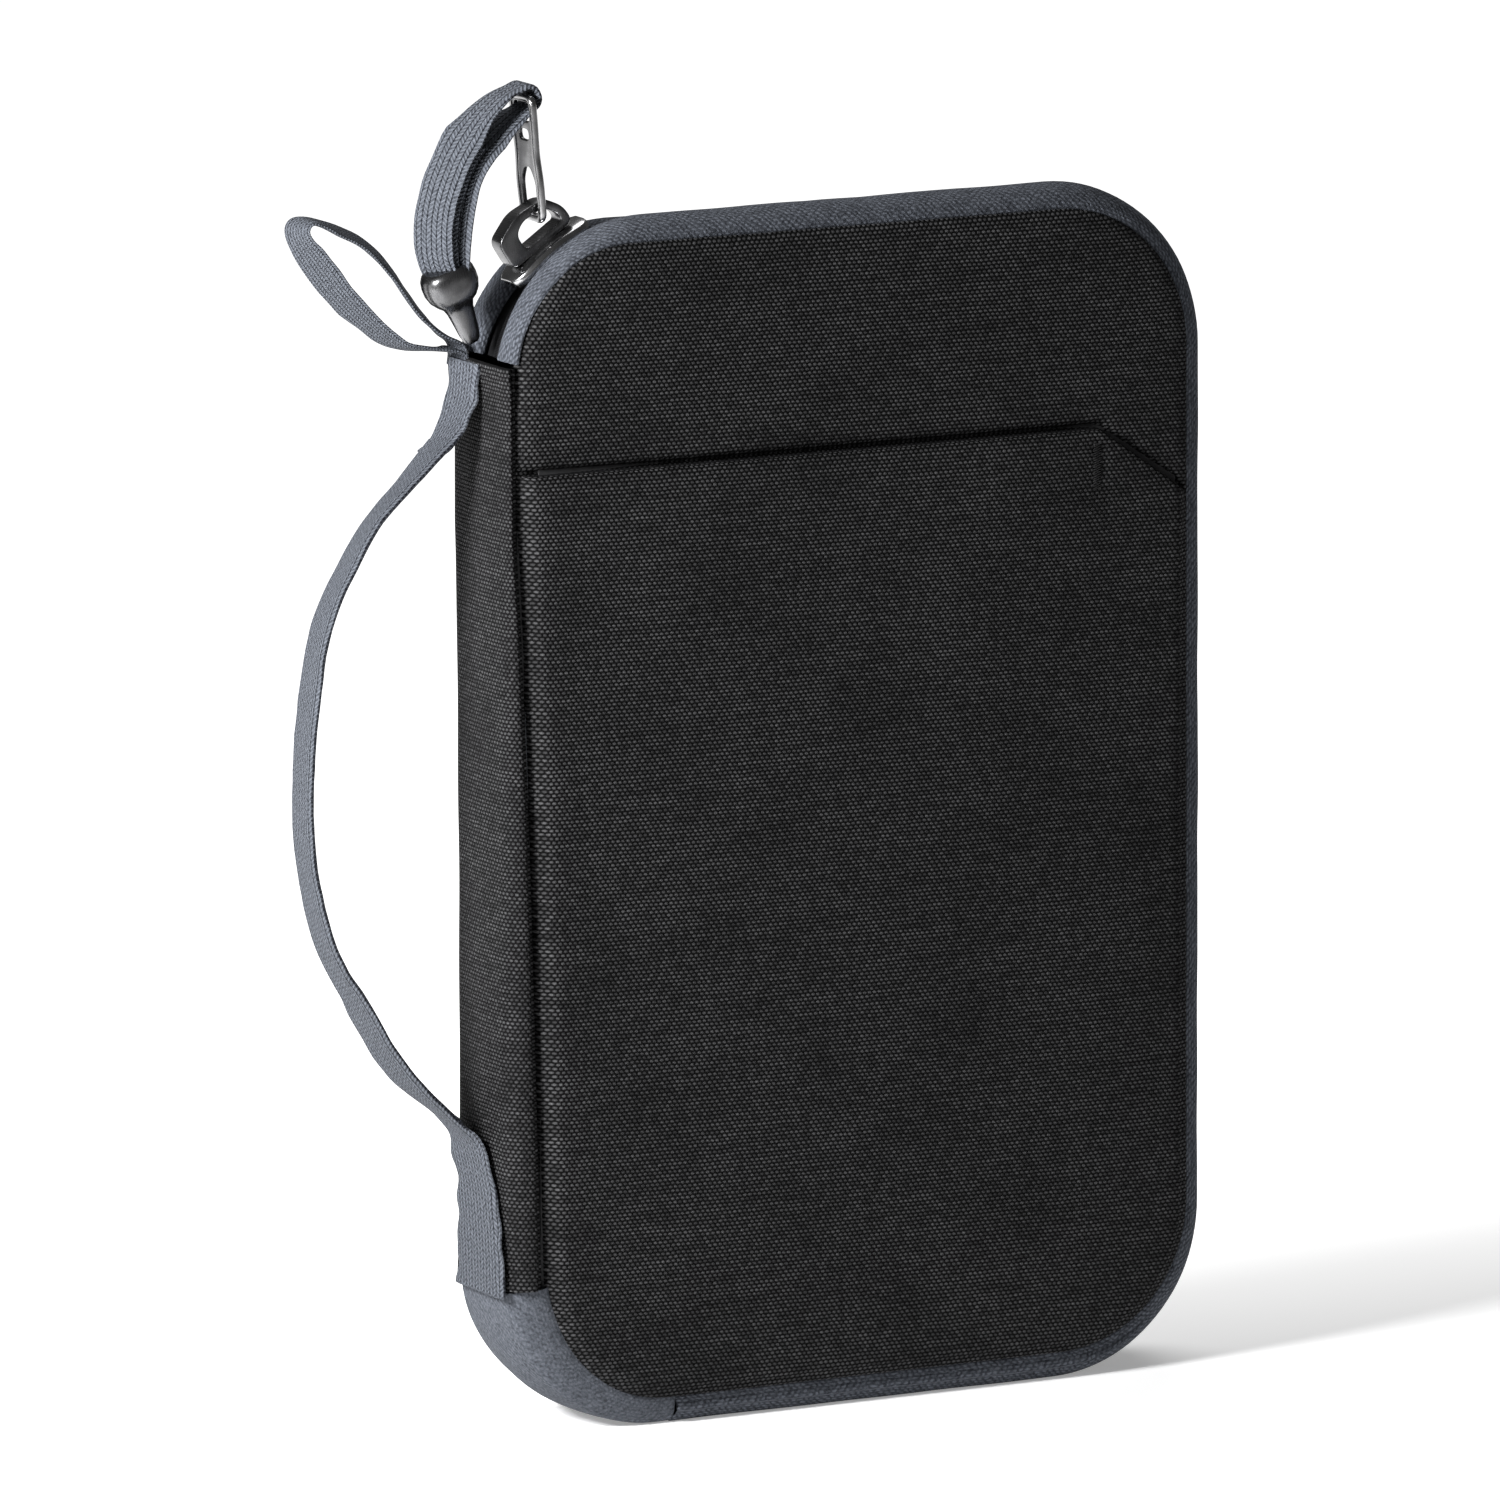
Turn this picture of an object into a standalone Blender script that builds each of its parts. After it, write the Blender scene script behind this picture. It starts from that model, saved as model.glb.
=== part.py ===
"""Zip-around travel organiser for a passport, with a webbing carry handle on its spine.

Metres, +Z up. It stands on the bottom of its gusset: spine at -X, front cover at -Y.
Each cover is a tray (panel, foam, lining and half of the gusset and zip) and folds on the spine.
"""

import math

import bmesh
import bpy
from mathutils import Vector

MM = 0.001

# Driving dimensions
BODY_WIDTH = 140 * MM
BODY_HEIGHT = 216 * MM
HALF_DEPTH = 13.5 * MM
CORNER_RADIUS = 30 * MM
PANEL_INSET = 4.2 * MM  # edge of a cover panel, in from the crest of the gusset
LAYER_INSET = 6.4 * MM  # edge of the foam and lining inside the gusset
HANDLE_REACH = 33.4 * MM  # how far the carry handle bows out from the spine
SPINE_BOTTOM = 27 * MM
SPINE_TOP = 191.5 * MM
SPINE_HALF_WIDTH = 11.4 * MM
WEBBING_WIDTH = 14 * MM
WEBBING_THICKNESS = 1.2 * MM
LOOP_Y = 8.0 * MM  # the hanging loop is behind the zip pull
FRONT_FACE = 12.1 * MM  # the front shell's face; the slip pocket and its bartack stand in front of it
SHELL_EDGE = 0.9 * MM  # how far a shell's face is in from its seam
POCKET_X = (20 * MM, 16 * MM)  # inner pockets' sides, in from the spine and from the free edge
GAP = 0.3 * MM  # left between pieces that touch
ARC_STEPS = 8

# Places that follow from them: the handle and the body together are centred on X = 0
LEFT = (HANDLE_REACH - BODY_WIDTH) / 2
RIGHT = LEFT + BODY_WIDTH
ARC_X = LEFT + CORNER_RADIUS
ARC_Z = BODY_HEIGHT - CORNER_RADIUS
ZIP_START = math.radians(167)  # on the top left corner, just above the spine
CORNER_START = math.radians(188)  # on the bottom left corner, just below the spine
ZIP_END_X = ARC_X + 2.3 * MM  # on the bottom edge, just past the corner

# Slider: its place on the top left corner, and what hangs on it
SLIDER_ANGLE = math.radians(125)
SLIDER_HALF_LENGTH = 8 * MM
SLIDER_HALF_WIDTH = 4.2 * MM
COIL_TOP = -2.3 * MM  # measured out from the crest of the gusset
COIL_BOTTOM = -3.9 * MM
SLIDER_LOW = -0.1 * MM  # the top plate rides clear of the coil
SLIDER_HIGH = 1.6 * MM
TAB_LEAN = math.radians(-6.0)
TAB_BAR_HEIGHT = 21.7 * MM
PULL_HALF_WIDTH = 3.3 * MM

BLACK = (0.018, 0.018, 0.019)
DARK = (0.03, 0.03, 0.032)
GREY = (0.19, 0.205, 0.235)
LINING = (0.11, 0.115, 0.125)
METAL = (0.42, 0.42, 0.43)


def clear_scene():
    for item in list(bpy.data.objects):
        bpy.data.objects.remove(item)


def material(name, color, roughness, metallic=0.0):
    found = bpy.data.materials.get(name)
    if found:
        return found
    made = bpy.data.materials.new(name)
    made.use_nodes = True
    shader = made.node_tree.nodes["Principled BSDF"]
    shader.inputs["Base Color"].default_value = (*color, 1)
    shader.inputs["Roughness"].default_value = roughness
    shader.inputs["Metallic"].default_value = metallic
    return made


def black_fabric():
    return material("black_fabric", BLACK, 0.85)


def grey_webbing():
    return material("grey_webbing", GREY, 0.8)


def lining_fabric():
    return material("lining_fabric", LINING, 0.8)


def foam():
    return material("foam", DARK, 0.95)


def zip_nylon():
    return material("zip_nylon", DARK, 0.5)


def metal():
    return material("metal", METAL, 0.3, 1.0)


def add(name, mesh_data, finish, pivot=(0, 0, 0)):
    """Links one closed body with its origin at pivot."""
    bmesh.ops.recalc_face_normals(mesh_data, faces=mesh_data.faces)
    bmesh.ops.translate(mesh_data, verts=mesh_data.verts, vec=-Vector(pivot))
    mesh = bpy.data.meshes.new(name)
    mesh_data.to_mesh(mesh)
    mesh_data.free()
    mesh.shade_smooth()
    mesh.set_sharp_from_angle(angle=math.radians(35))
    mesh.materials.append(finish)
    made = bpy.data.objects.new(name, mesh)
    made.location = pivot
    bpy.context.scene.collection.objects.link(made)
    return made


def loft(rings):
    """A closed body through rings of points, flat at both ends."""
    made = bmesh.new()
    loops = [[made.verts.new(point) for point in ring] for ring in rings]
    count = len(loops[0])
    for low, high in zip(loops, loops[1:]):
        for i in range(count):
            after = (i + 1) % count
            made.faces.new((low[i], low[after], high[after], high[i]))
    made.faces.new(loops[0])
    made.faces.new(loops[-1])
    return made


def frame_loft(outer, inner):
    """A closed body with one hole: outer and inner are each two rings of as many points."""
    made = bmesh.new()
    near_out, far_out, near_in, far_in = (
        [made.verts.new(point) for point in ring] for ring in (*outer, *inner)
    )
    count = len(near_out)
    for i in range(count):
        after = (i + 1) % count
        made.faces.new((near_out[i], near_out[after], far_out[after], far_out[i]))
        made.faces.new((near_in[i], far_in[i], far_in[after], near_in[after]))
        made.faces.new((near_out[i], near_in[i], near_in[after], near_out[after]))
        made.faces.new((far_out[i], far_out[after], far_in[after], far_in[i]))
    return made


def at_depth(outline, y):
    return [Vector((x, y, z)) for x, z in outline]


def plate(outline, y_near, y_far):
    return loft([at_depth(outline, y_near), at_depth(outline, y_far)])


def block(x_range, y_range, z_range):
    outline = [
        (x_range[0], z_range[0]),
        (x_range[1], z_range[0]),
        (x_range[1], z_range[1]),
        (x_range[0], z_range[1]),
    ]
    return plate(outline, *y_range)


def arc(center_x, center_z, radius, start, end, steps=ARC_STEPS):
    """Points on a circle in the XZ plane, angles in radians from +X towards +Z."""
    angles = [start + (end - start) * i / steps for i in range(steps + 1)]
    return [(center_x + radius * math.cos(a), center_z + radius * math.sin(a)) for a in angles]


def rounded(x_low, x_high, z_low, z_high, radius):
    quarter = math.pi / 2
    corners = (
        (x_high - radius, z_high - radius),
        (x_low + radius, z_high - radius),
        (x_low + radius, z_low + radius),
        (x_high - radius, z_low + radius),
    )
    outline = []
    for turn, (x, z) in enumerate(corners):
        outline += arc(x, z, radius, turn * quarter, (turn + 1) * quarter)
    return outline


def panel_outline(inset):
    """A cover layer's outline, in from the crest of the gusset by inset."""
    radius = CORNER_RADIUS - inset
    return rounded(LEFT + inset, RIGHT - inset, inset, BODY_HEIGHT - inset, radius)


def rim_path(out):
    """The zip's route round three sides, out from the crest of the gusset by out."""
    radius = CORNER_RADIUS + out
    half = math.pi / 2
    right_x = RIGHT - CORNER_RADIUS
    path = arc(ARC_X, ARC_Z, radius, ZIP_START, half)
    path += arc(right_x, ARC_Z, radius, half, 0)
    path += arc(right_x, CORNER_RADIUS, radius, 0, -half)
    path.append((ZIP_END_X, -out))
    return path


def rim_sweep(section):
    """Sweeps a section of (out from the crest, y) points round the zip's route."""
    lines = [at_depth(rim_path(out), y) for out, y in section]
    return loft(list(zip(*lines)))


def corner_sweep(section, steps=ARC_STEPS):
    """The same round the bottom left corner, from the spine to where the zip starts."""
    lines = []
    for out, y in section:
        path = arc(ARC_X, CORNER_RADIUS, CORNER_RADIUS + out, CORNER_START, 1.5 * math.pi, steps)
        path.append((ZIP_END_X - GAP, -out))
        lines.append(at_depth(path, y))
    return loft(list(zip(*lines)))


def smooth_path(points, steps):
    """A Catmull-Rom curve through the points, steps to a span."""
    padded = [2 * points[0] - points[1], *points, 2 * points[-1] - points[-2]]
    path = []
    for a, b, c, d in zip(padded, padded[1:], padded[2:], padded[3:]):
        for step in range(steps):
            t = step / steps
            curve = 2 * b + (c - a) * t + (2 * a - 5 * b + 4 * c - d) * t**2
            path.append((curve + (3 * b - a - 3 * c + d) * t**3) / 2)
    return [*path, points[-1]]


def ribbon(path, thickness, half_width):
    """A flat strap along path, its width along Y and its thickness across the path."""
    rings = []
    for i, point in enumerate(path):
        along = (path[min(i + 1, len(path) - 1)] - path[max(i - 1, 0)]).normalized()
        across = Vector((-along.z, 0, along.x)).normalized() * thickness / 2
        side = Vector((0, half_width, 0))
        rings.append([point - across - side, point + across - side])
        rings[-1] += [point + across + side, point - across + side]
    return loft(rings)


def out_from_spine(points):
    """(distance out from the spine, height, y) in millimetres, as places."""
    return [Vector((LEFT - out * MM, y * MM, z * MM)) for out, z, y in points]


def gusset_section(side):
    """Half of the gusset: from the cover's seam over a rounded crest to the zip tape."""
    outer = [(-3.9, 11.8), (-2.6, 11.6), (-1.2, 10.8), (-0.3, 9.6)]
    outer += [(0, 8.8), (0, 7.2), (-0.5, 5.9), (-1.8, 4.5)]
    inner = [(-3.1, 4.8), (-1.9, 6.3), (-1.3, 7.4), (-1.3, 8.6)]
    inner += [(-1.6, 9.1), (-2.2, 9.7), (-3.0, 10.1), (-3.9, 10.3)]
    return [(out * MM, side * y * MM) for out, y in outer + inner]


def rectangle(out_range, y_range):
    (low, high), (near, far) = out_range, y_range
    return [(low, near), (high, near), (high, far), (low, far)]


def make_rim(cover, side):
    """Gusset, zip tape, zip coil and seam binding of one cover."""
    coil = sorted((side * 0.9 * MM, side * 2.4 * MM))
    tape = sorted((side * 2.7 * MM, side * 7.0 * MM))
    binding = sorted((side * 8.4 * MM, side * 9.6 * MM))
    tape_out = (COIL_BOTTOM, COIL_BOTTOM + 0.5 * MM)
    add(f"{cover}_gusset_band", rim_sweep(gusset_section(side)), grey_webbing())
    add(f"{cover}_zip_tape", rim_sweep(rectangle(tape_out, tape)), zip_nylon())
    add(f"{cover}_zip_coil", rim_sweep(rectangle((COIL_BOTTOM, COIL_TOP), coil)), zip_nylon())
    binding_out = (-5.6 * MM, -4.2 * MM)
    add(f"{cover}_seam_binding", rim_sweep(rectangle(binding_out, binding)), lining_fabric())


def make_cover_layers(cover, side, shell_face, shell_thickness):
    """Outer panel with a soft edge, foam board and lining of one cover, from outside in."""
    inner_face = shell_face - shell_thickness
    edge = panel_outline(PANEL_INSET)
    face = panel_outline(PANEL_INSET + SHELL_EDGE)
    mid_y = side * (shell_face - 0.5 * MM)
    rings = [at_depth(edge, side * inner_face), at_depth(edge, mid_y)]
    rings.append(at_depth(face, side * shell_face))
    add(f"{cover}_cover_shell", loft(rings), black_fabric())
    board = panel_outline(LAYER_INSET)
    board_face = inner_face - GAP
    foam_y = (side * board_face, side * (board_face - 1.6 * MM))
    add(f"{cover}_foam_board", plate(board, *foam_y), foam())
    lining_face = board_face - 1.6 * MM - GAP
    lining_y = (side * lining_face, side * (lining_face - 0.5 * MM))
    add(f"{cover}_lining", plate(board, *lining_y), lining_fabric())
    return lining_face - 0.5 * MM - GAP


def make_slip_pocket():
    """The front cover's slip pocket: a level mouth and a chamfered corner at the free edge."""
    mouth_z = 172.6 * MM
    chamfer_x = RIGHT - 22.8 * MM
    chamfer_z = 159.6 * MM
    inset = PANEL_INSET + SHELL_EDGE
    left, right = LEFT + inset, RIGHT - inset
    radius = CORNER_RADIUS - inset
    outline = arc(left + radius, inset + radius, radius, math.pi, 1.5 * math.pi)
    outline += arc(right - radius, inset + radius, radius, -0.5 * math.pi, 0)
    outline += [(right, chamfer_z), (chamfer_x, mouth_z), (left, mouth_z)]
    near = -FRONT_FACE - GAP
    add("front_slip_pocket", plate(outline, near - 0.5 * MM, near), black_fabric())
    tack_x = (chamfer_x - 1.6 * MM, chamfer_x - 0.4 * MM)
    tack_z = (mouth_z - 10.5 * MM, mouth_z - 2.5 * MM)
    tack_y = (-HALF_DEPTH, -HALF_DEPTH + 0.3 * MM)
    add("pocket_bartack", block(tack_x, tack_y, tack_z), zip_nylon())


def pocket_sides():
    return LEFT + POCKET_X[0], RIGHT - POCKET_X[1]


def make_card_slots(first_y):
    """Three staggered card pockets on the front cover's lining."""
    for i in range(3):
        near = -first_y + i * 1.0 * MM
        outline = rounded(*pocket_sides(), 18 * MM, (112 - 15 * i) * MM, 3 * MM)
        add(f"card_slot_{i + 1}", plate(outline, near, near + 0.7 * MM), lining_fabric())


def make_coin_pocket(first_y):
    """A flat zipped pocket above the card slots, its slider on a straight zip."""
    x_range = pocket_sides()
    near = -first_y
    panel = rounded(*x_range, 122 * MM, 184 * MM, 3 * MM)
    add("coin_pocket_panel", plate(panel, near, near + 0.7 * MM), lining_fabric())
    tape = block(x_range, (near, near + 0.5 * MM), (184.3 * MM, 193 * MM))
    add("coin_zip_tape", tape, zip_nylon())
    coil_y = (near + 0.8 * MM, near + 1.8 * MM)
    add("coin_zip_coil", block(x_range, coil_y, (187.4 * MM, 190 * MM)), zip_nylon())
    start = x_range[0] + 3 * MM
    axis_z = 188.7 * MM
    slider_y = (coil_y[1] + GAP, coil_y[1] + 2.5 * MM)
    slider = rounded(start, start + 9 * MM, 185.6 * MM, 191.8 * MM, 2.4 * MM)
    add("coin_slider", plate(slider, *slider_y), metal(), (start, slider_y[0], axis_z))
    tab_x = (start + 2.8 * MM, start + 6.2 * MM)
    tab_y = (slider_y[1] + GAP, slider_y[1] + 1.3 * MM)
    pivot = (sum(tab_x) / 2, sum(tab_y) / 2, axis_z)
    tab = rounded(*tab_x, axis_z - 12 * MM, axis_z + 0.6 * MM, 1.5 * MM)
    add("coin_pull_tab", plate(tab, *tab_y), metal(), pivot)


def make_rear_pockets(first_y):
    """The tall sleeve for papers and the passport pocket in front of it, on the rear lining."""
    sleeve = rounded(*pocket_sides(), 18 * MM, 170 * MM, 3 * MM)
    add("ticket_sleeve", plate(sleeve, first_y - 0.7 * MM, first_y), lining_fabric())
    second_y = first_y - 1.0 * MM
    pocket = rounded(*pocket_sides(), 18 * MM, 124 * MM, 3 * MM)
    add("passport_pocket", plate(pocket, second_y - 0.7 * MM, second_y), lining_fabric())


def upright(section, z_low, z_high):
    """A body of constant (x, y) section."""
    return loft([[Vector((x, y, z)) for x, y in section] for z in (z_low, z_high)])


def make_spine():
    """Crowned outer panel turned in at both folds, with its stiffener and lining."""
    crown = 1.1 * MM
    half = SPINE_HALF_WIDTH
    steps = 6
    outer = []
    for i in range(steps + 1):
        y = -half + 2 * half * i / steps
        outer.append((LEFT + crown * (y / half) ** 2, y))
    turn_in, wall, inside = LEFT + 3.8 * MM, half - 1.2 * MM, LEFT + 2.4 * MM
    section = outer + [(turn_in, half), (turn_in, wall), (inside, wall)]
    section += [(inside, -wall), (turn_in, -wall), (turn_in, -half)]
    add("spine_panel", upright(section, SPINE_BOTTOM, SPINE_TOP), black_fabric())
    for name, near, far, finish in (
        ("spine_stiffener", 2.7, 3.9, foam()),
        ("spine_lining", 4.2, 4.7, lining_fabric()),
    ):
        y_range = (2.0 * MM - half, half - 2.0 * MM)
        x_range = (LEFT + near * MM, LEFT + far * MM)
        z_range = (SPINE_BOTTOM + 4 * MM, SPINE_TOP - 4 * MM)
        add(name, block(x_range, y_range, z_range), finish)


def make_corner_gusset():
    """The one-piece gusset round the bottom left corner, where the zip has ended."""
    outer = [(-3.9, 11.8), (-2.6, 11.6), (-1.2, 10.8), (-0.3, 9.6), (0, 8.8)]
    inner = [(-1.3, 8.6), (-1.6, 9.1), (-2.2, 9.7), (-3.0, 10.1), (-3.9, 10.3)]
    far = [(out, -y) for out, y in reversed(outer)] + [(out, -y) for out, y in reversed(inner)]
    section = [(out * MM, y * MM) for out, y in outer + far + inner]
    add("corner_gusset", corner_sweep(section), grey_webbing())


def make_handle():
    """Webbing sewn flat low on the spine, bowed out, and sewn in again at the spine's top."""
    half = WEBBING_WIDTH / 2
    low = [(0.95, 27.5, 4), (0.95, 38, 4), (0.95, 47.5, 4), (1.7, 51.8, 4), (4.0, 55.3, 4)]
    path = smooth_path(out_from_spine(low), 2)
    add("handle_lower_anchor", ribbon(path, WEBBING_THICKNESS, half), grey_webbing())
    high = [(4.2, 178.5, 4.4), (2.2, 181.6, 4.4), (1.1, 185.2, 4.4), (0.95, 190.2, 4.4)]
    path = smooth_path(out_from_spine(high), 2)
    add("handle_upper_anchor", ribbon(path, WEBBING_THICKNESS, half), grey_webbing())
    bow = [(5.0, 56.5, 4.0), (12.7, 63.6, 4.0), (22.7, 78.9, 4.0), (29.8, 93.8, 4.1)]
    bow += [(32.4, 108.3, 4.1), (32.8, 116, 4.2), (32.0, 129.6, 4.2), (29.2, 143.6, 4.3)]
    bow += [(23.4, 157.3, 4.3), (12.2, 170.4, 4.4), (5.2, 177.2, 4.4)]
    path = smooth_path(out_from_spine(bow), 3)
    pivot = (LEFT - 4.4 * MM, 4.2 * MM, 56.5 * MM)
    add("carry_handle", ribbon(path, WEBBING_THICKNESS, half), grey_webbing(), pivot)


def make_attachment_loop():
    """A folded ribbon that sticks out from the top of the spine."""
    loop = [(0.7, 192.9), (3.6, 193.0), (11.5, 194.3), (17.3, 198.3), (23.1, 204.0)]
    loop += [(27.9, 210.2), (30.8, 214.3), (31.2, 216.6), (29.4, 217.6), (24.9, 216.0)]
    loop += [(19.1, 213.1), (14.3, 208.7), (9.5, 202.1), (6.0, 198.0), (3.2, 195.6), (0.7, 195.2)]
    path = smooth_path(out_from_spine([(out, z, LOOP_Y / MM) for out, z in loop]), 2)
    pivot = (LEFT - 1.6 * MM, LOOP_Y, 194.0 * MM)
    add("attachment_loop", ribbon(path, 0.8 * MM, 4 * MM), grey_webbing(), pivot)


def slider_place(along, out):
    """A place over the slider's middle: along its travel, and out from the crest."""
    turn = math.cos(SLIDER_ANGLE), math.sin(SLIDER_ANGLE)
    reach = CORNER_RADIUS + out
    x = ARC_X + reach * turn[0] + along * turn[1]
    return x, ARC_Z + reach * turn[1] - along * turn[0]


def slider_strip(low, high, start, end, steps):
    """An outline between two arcs that share the corner's centre."""
    angles = [SLIDER_ANGLE - value / CORNER_RADIUS for value in (start, end)]
    outer = arc(ARC_X, ARC_Z, CORNER_RADIUS + high, *angles, steps)
    inner = arc(ARC_X, ARC_Z, CORNER_RADIUS + low, *reversed(angles), steps)
    return outer + inner


def unite(target, extra):
    """Adds extra to target as one body and removes extra."""
    join = target.modifiers.new("join", "BOOLEAN")
    join.operation = "UNION"
    join.solver = "EXACT"
    join.object = extra
    with bpy.context.temp_override(object=target, active_object=target):
        bpy.ops.object.modifier_apply(modifier=join.name)
    bpy.data.objects.remove(extra)


def make_slider():
    """Top plate, post and bottom plate round the coil, and the crown that holds the tab."""
    half = SLIDER_HALF_LENGTH
    wide = (-SLIDER_HALF_WIDTH, SLIDER_HALF_WIDTH)
    top = slider_strip(SLIDER_LOW, SLIDER_HIGH, -half, half, 6)
    center = (ARC_X, 0, ARC_Z)
    body = add("slider_body", plate(top, *wide), metal(), center)
    bottom = slider_strip(-5.4 * MM, COIL_BOTTOM - GAP, -half, half, 6)
    unite(body, add("bottom_plate", plate(bottom, *wide), metal(), center))
    post = slider_strip(-4.8 * MM, 0.6 * MM, 3 * MM, 6.5 * MM, 2)
    unite(body, add("post", plate(post, -0.5 * MM, 0.5 * MM), metal(), center))
    outer = [(-6.6, 1.9), (6.6, 1.9), (6.6, 5.2), (5.4, 7.7), (3.0, 9.0), (-2.4, 9.0)]
    outer += [(-5.0, 7.5), (-6.6, 4.6)]
    inner = [(-5.2, 3.0), (5.2, 3.0), (5.2, 4.9), (4.3, 6.6), (2.4, 7.5), (-2.0, 7.5)]
    inner += [(-3.9, 6.4), (-5.2, 4.3)]
    rings = []
    for outline in (outer, inner):
        places = [slider_place(along * MM, out * MM) for along, out in outline]
        rings.append([at_depth(places, y * MM) for y in (-1.4, 1.4)])
    add("slider_crown", frame_loft(*rings), metal(), center)


def tab_place(pivot, height, across=0.0):
    """A place on the tab's centre plane, up along its leaning length."""
    x = pivot[0] + height * math.sin(TAB_LEAN) + across * math.cos(TAB_LEAN)
    return x, pivot[1] + height * math.cos(TAB_LEAN) - across * math.sin(TAB_LEAN)


def make_tab():
    """A flat tab with two windows: the low one rides on the crown, the high one holds the pull."""
    pivot = slider_place(1.8 * MM, 6.0 * MM)
    half_thick = 0.65 * MM

    def slab(name, half_width, low, high):
        rings = []
        for across in (-half_thick, half_thick):
            ends = [tab_place(pivot, height * MM, across) for height in (low, high)]
            corners = [(-half_width, 0), (half_width, 0), (half_width, 1), (-half_width, 1)]
            rings.append([Vector((ends[e][0], y * MM, ends[e][1])) for y, e in corners])
        return add(name, loft(rings), metal(), (pivot[0], 0, pivot[1]))

    tab = slab("pull_tab", 4.2, -0.7, 22.6)
    for half_width, low, high in ((2.4, 0.7, 8.6), (3.7, 17.6, 20.8)):
        window = slab("window", half_width, low, high)
        stretch_through(window, pivot)
        cut_out(tab, window)
    return pivot


def stretch_through(window, pivot):
    """Makes a cutter reach past both faces of the tab."""
    across = Vector((math.cos(TAB_LEAN), 0, -math.sin(TAB_LEAN)))
    for vertex in window.data.vertices:
        side = vertex.co.dot(across)
        vertex.co += across * math.copysign(2 * MM, side)


def cut_out(target, cutter):
    cut = target.modifiers.new("window", "BOOLEAN")
    cut.operation = "DIFFERENCE"
    cut.solver = "EXACT"
    cut.object = cutter
    with bpy.context.temp_override(object=target, active_object=target):
        bpy.ops.object.modifier_apply(modifier=cut.name)
    bpy.data.objects.remove(cutter)


def make_pull(pivot):
    """Webbing doubled over the tab's top bar, its two legs held in a moulded end cap."""
    bar = tab_place(pivot, TAB_BAR_HEIGHT)
    bar_point = Vector((bar[0], 0, bar[1]))
    center_line = [(0, 0), (-4.6, -2.6), (-9.8, -7.4), (-13.2, -13.0)]
    center_line += [(-15.2, -19.6), (-15.6, -26.4), (-14.8, -30.6)]
    spread = [1.9, 1.7, 1.3, 1.3, 1.3, 1.1, 0.8]
    spine = smooth_path([bar_point + Vector((x, 0, z)) * MM for x, z in center_line], 2)
    widths = [Vector((value * MM, 0, 0)) for value in spread]
    widths = [value.x for value in smooth_path(widths, 2)]
    upper, lower = [], []
    for i, point in enumerate(spine):
        along = (spine[min(i + 1, len(spine) - 1)] - spine[max(i - 1, 0)]).normalized()
        across = Vector((along.z, 0, -along.x)) * widths[i]
        upper.append(point + across)
        lower.append(point - across)
    start = math.atan2(upper[0].z - bar_point.z, upper[0].x - bar_point.x)
    radius = widths[0]
    turn = arc(bar_point.x, bar_point.z, radius, start, start + math.pi, 6)
    if (Vector((turn[3][0], 0, turn[3][1])) - spine[1]).length < (bar_point - spine[1]).length:
        turn = arc(bar_point.x, bar_point.z, radius, start, start - math.pi, 6)
    over = [Vector((x, 0, z)) for x, z in turn[1:-1]]
    path = list(reversed(upper)) + over + lower
    pivot_point = (bar_point.x, 0, bar_point.z)
    webbing = ribbon(path, 0.9 * MM, PULL_HALF_WIDTH)
    add("pull_webbing", webbing, grey_webbing(), pivot_point)
    make_end_cap(spine[-1], spine[-1] - spine[-2], pivot_point)


def make_end_cap(top, heading, pivot):
    """A rounded head that tapers to a blunt tip."""
    along = (heading.normalized() + Vector((0.35, 0, -0.4))).normalized()
    across = Vector((along.z, 0, -along.x))
    profile = [(0.3, 3.0), (1.6, 4.2), (3.6, 4.5), (5.6, 4.0)]
    profile += [(7.6, 2.7), (9.8, 2.1), (12, 1.6), (12.8, 0.9)]
    rings = []
    for down, radius in profile:
        center = top + along * down * MM
        ring = []
        for i in range(12):
            angle = 2 * math.pi * i / 12
            side = across * math.cos(angle) + Vector((0, 0.85 * math.sin(angle), 0))
            ring.append(center + side * radius * MM)
        rings.append(ring)
    add("pull_end_cap", loft(rings), metal(), pivot)


def make_zip_stop():
    """The metal clamp that ends the zip at the bottom."""
    x_range = (ZIP_END_X + 0.6 * MM, ZIP_END_X + 3.2 * MM)
    z_range = (0.6 * MM, -COIL_TOP - GAP)
    add("zip_end_stop", block(x_range, (-2.3 * MM, 2.3 * MM), z_range), metal())


def main():
    clear_scene()
    front_inside = make_cover_layers("front", -1, FRONT_FACE, 1.2 * MM)
    rear_inside = make_cover_layers("rear", 1, HALF_DEPTH, 1.5 * MM)
    make_rim("front", -1)
    make_rim("rear", 1)
    make_slip_pocket()
    make_card_slots(front_inside)
    make_coin_pocket(front_inside)
    make_rear_pockets(rear_inside)
    make_spine()
    make_corner_gusset()
    make_handle()
    make_attachment_loop()
    make_slider()
    make_pull(make_tab())
    make_zip_stop()


main()
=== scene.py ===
"""Looks of the zip-around passport wallet: padded covers, gusset, zip, spine, webbing and hardware.

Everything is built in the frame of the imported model, in metres: spine at -X, front cover at -Y, +Z up.
"""

import math

import bmesh
import bpy
from mathutils import Matrix, Vector, geometry, noise


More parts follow.
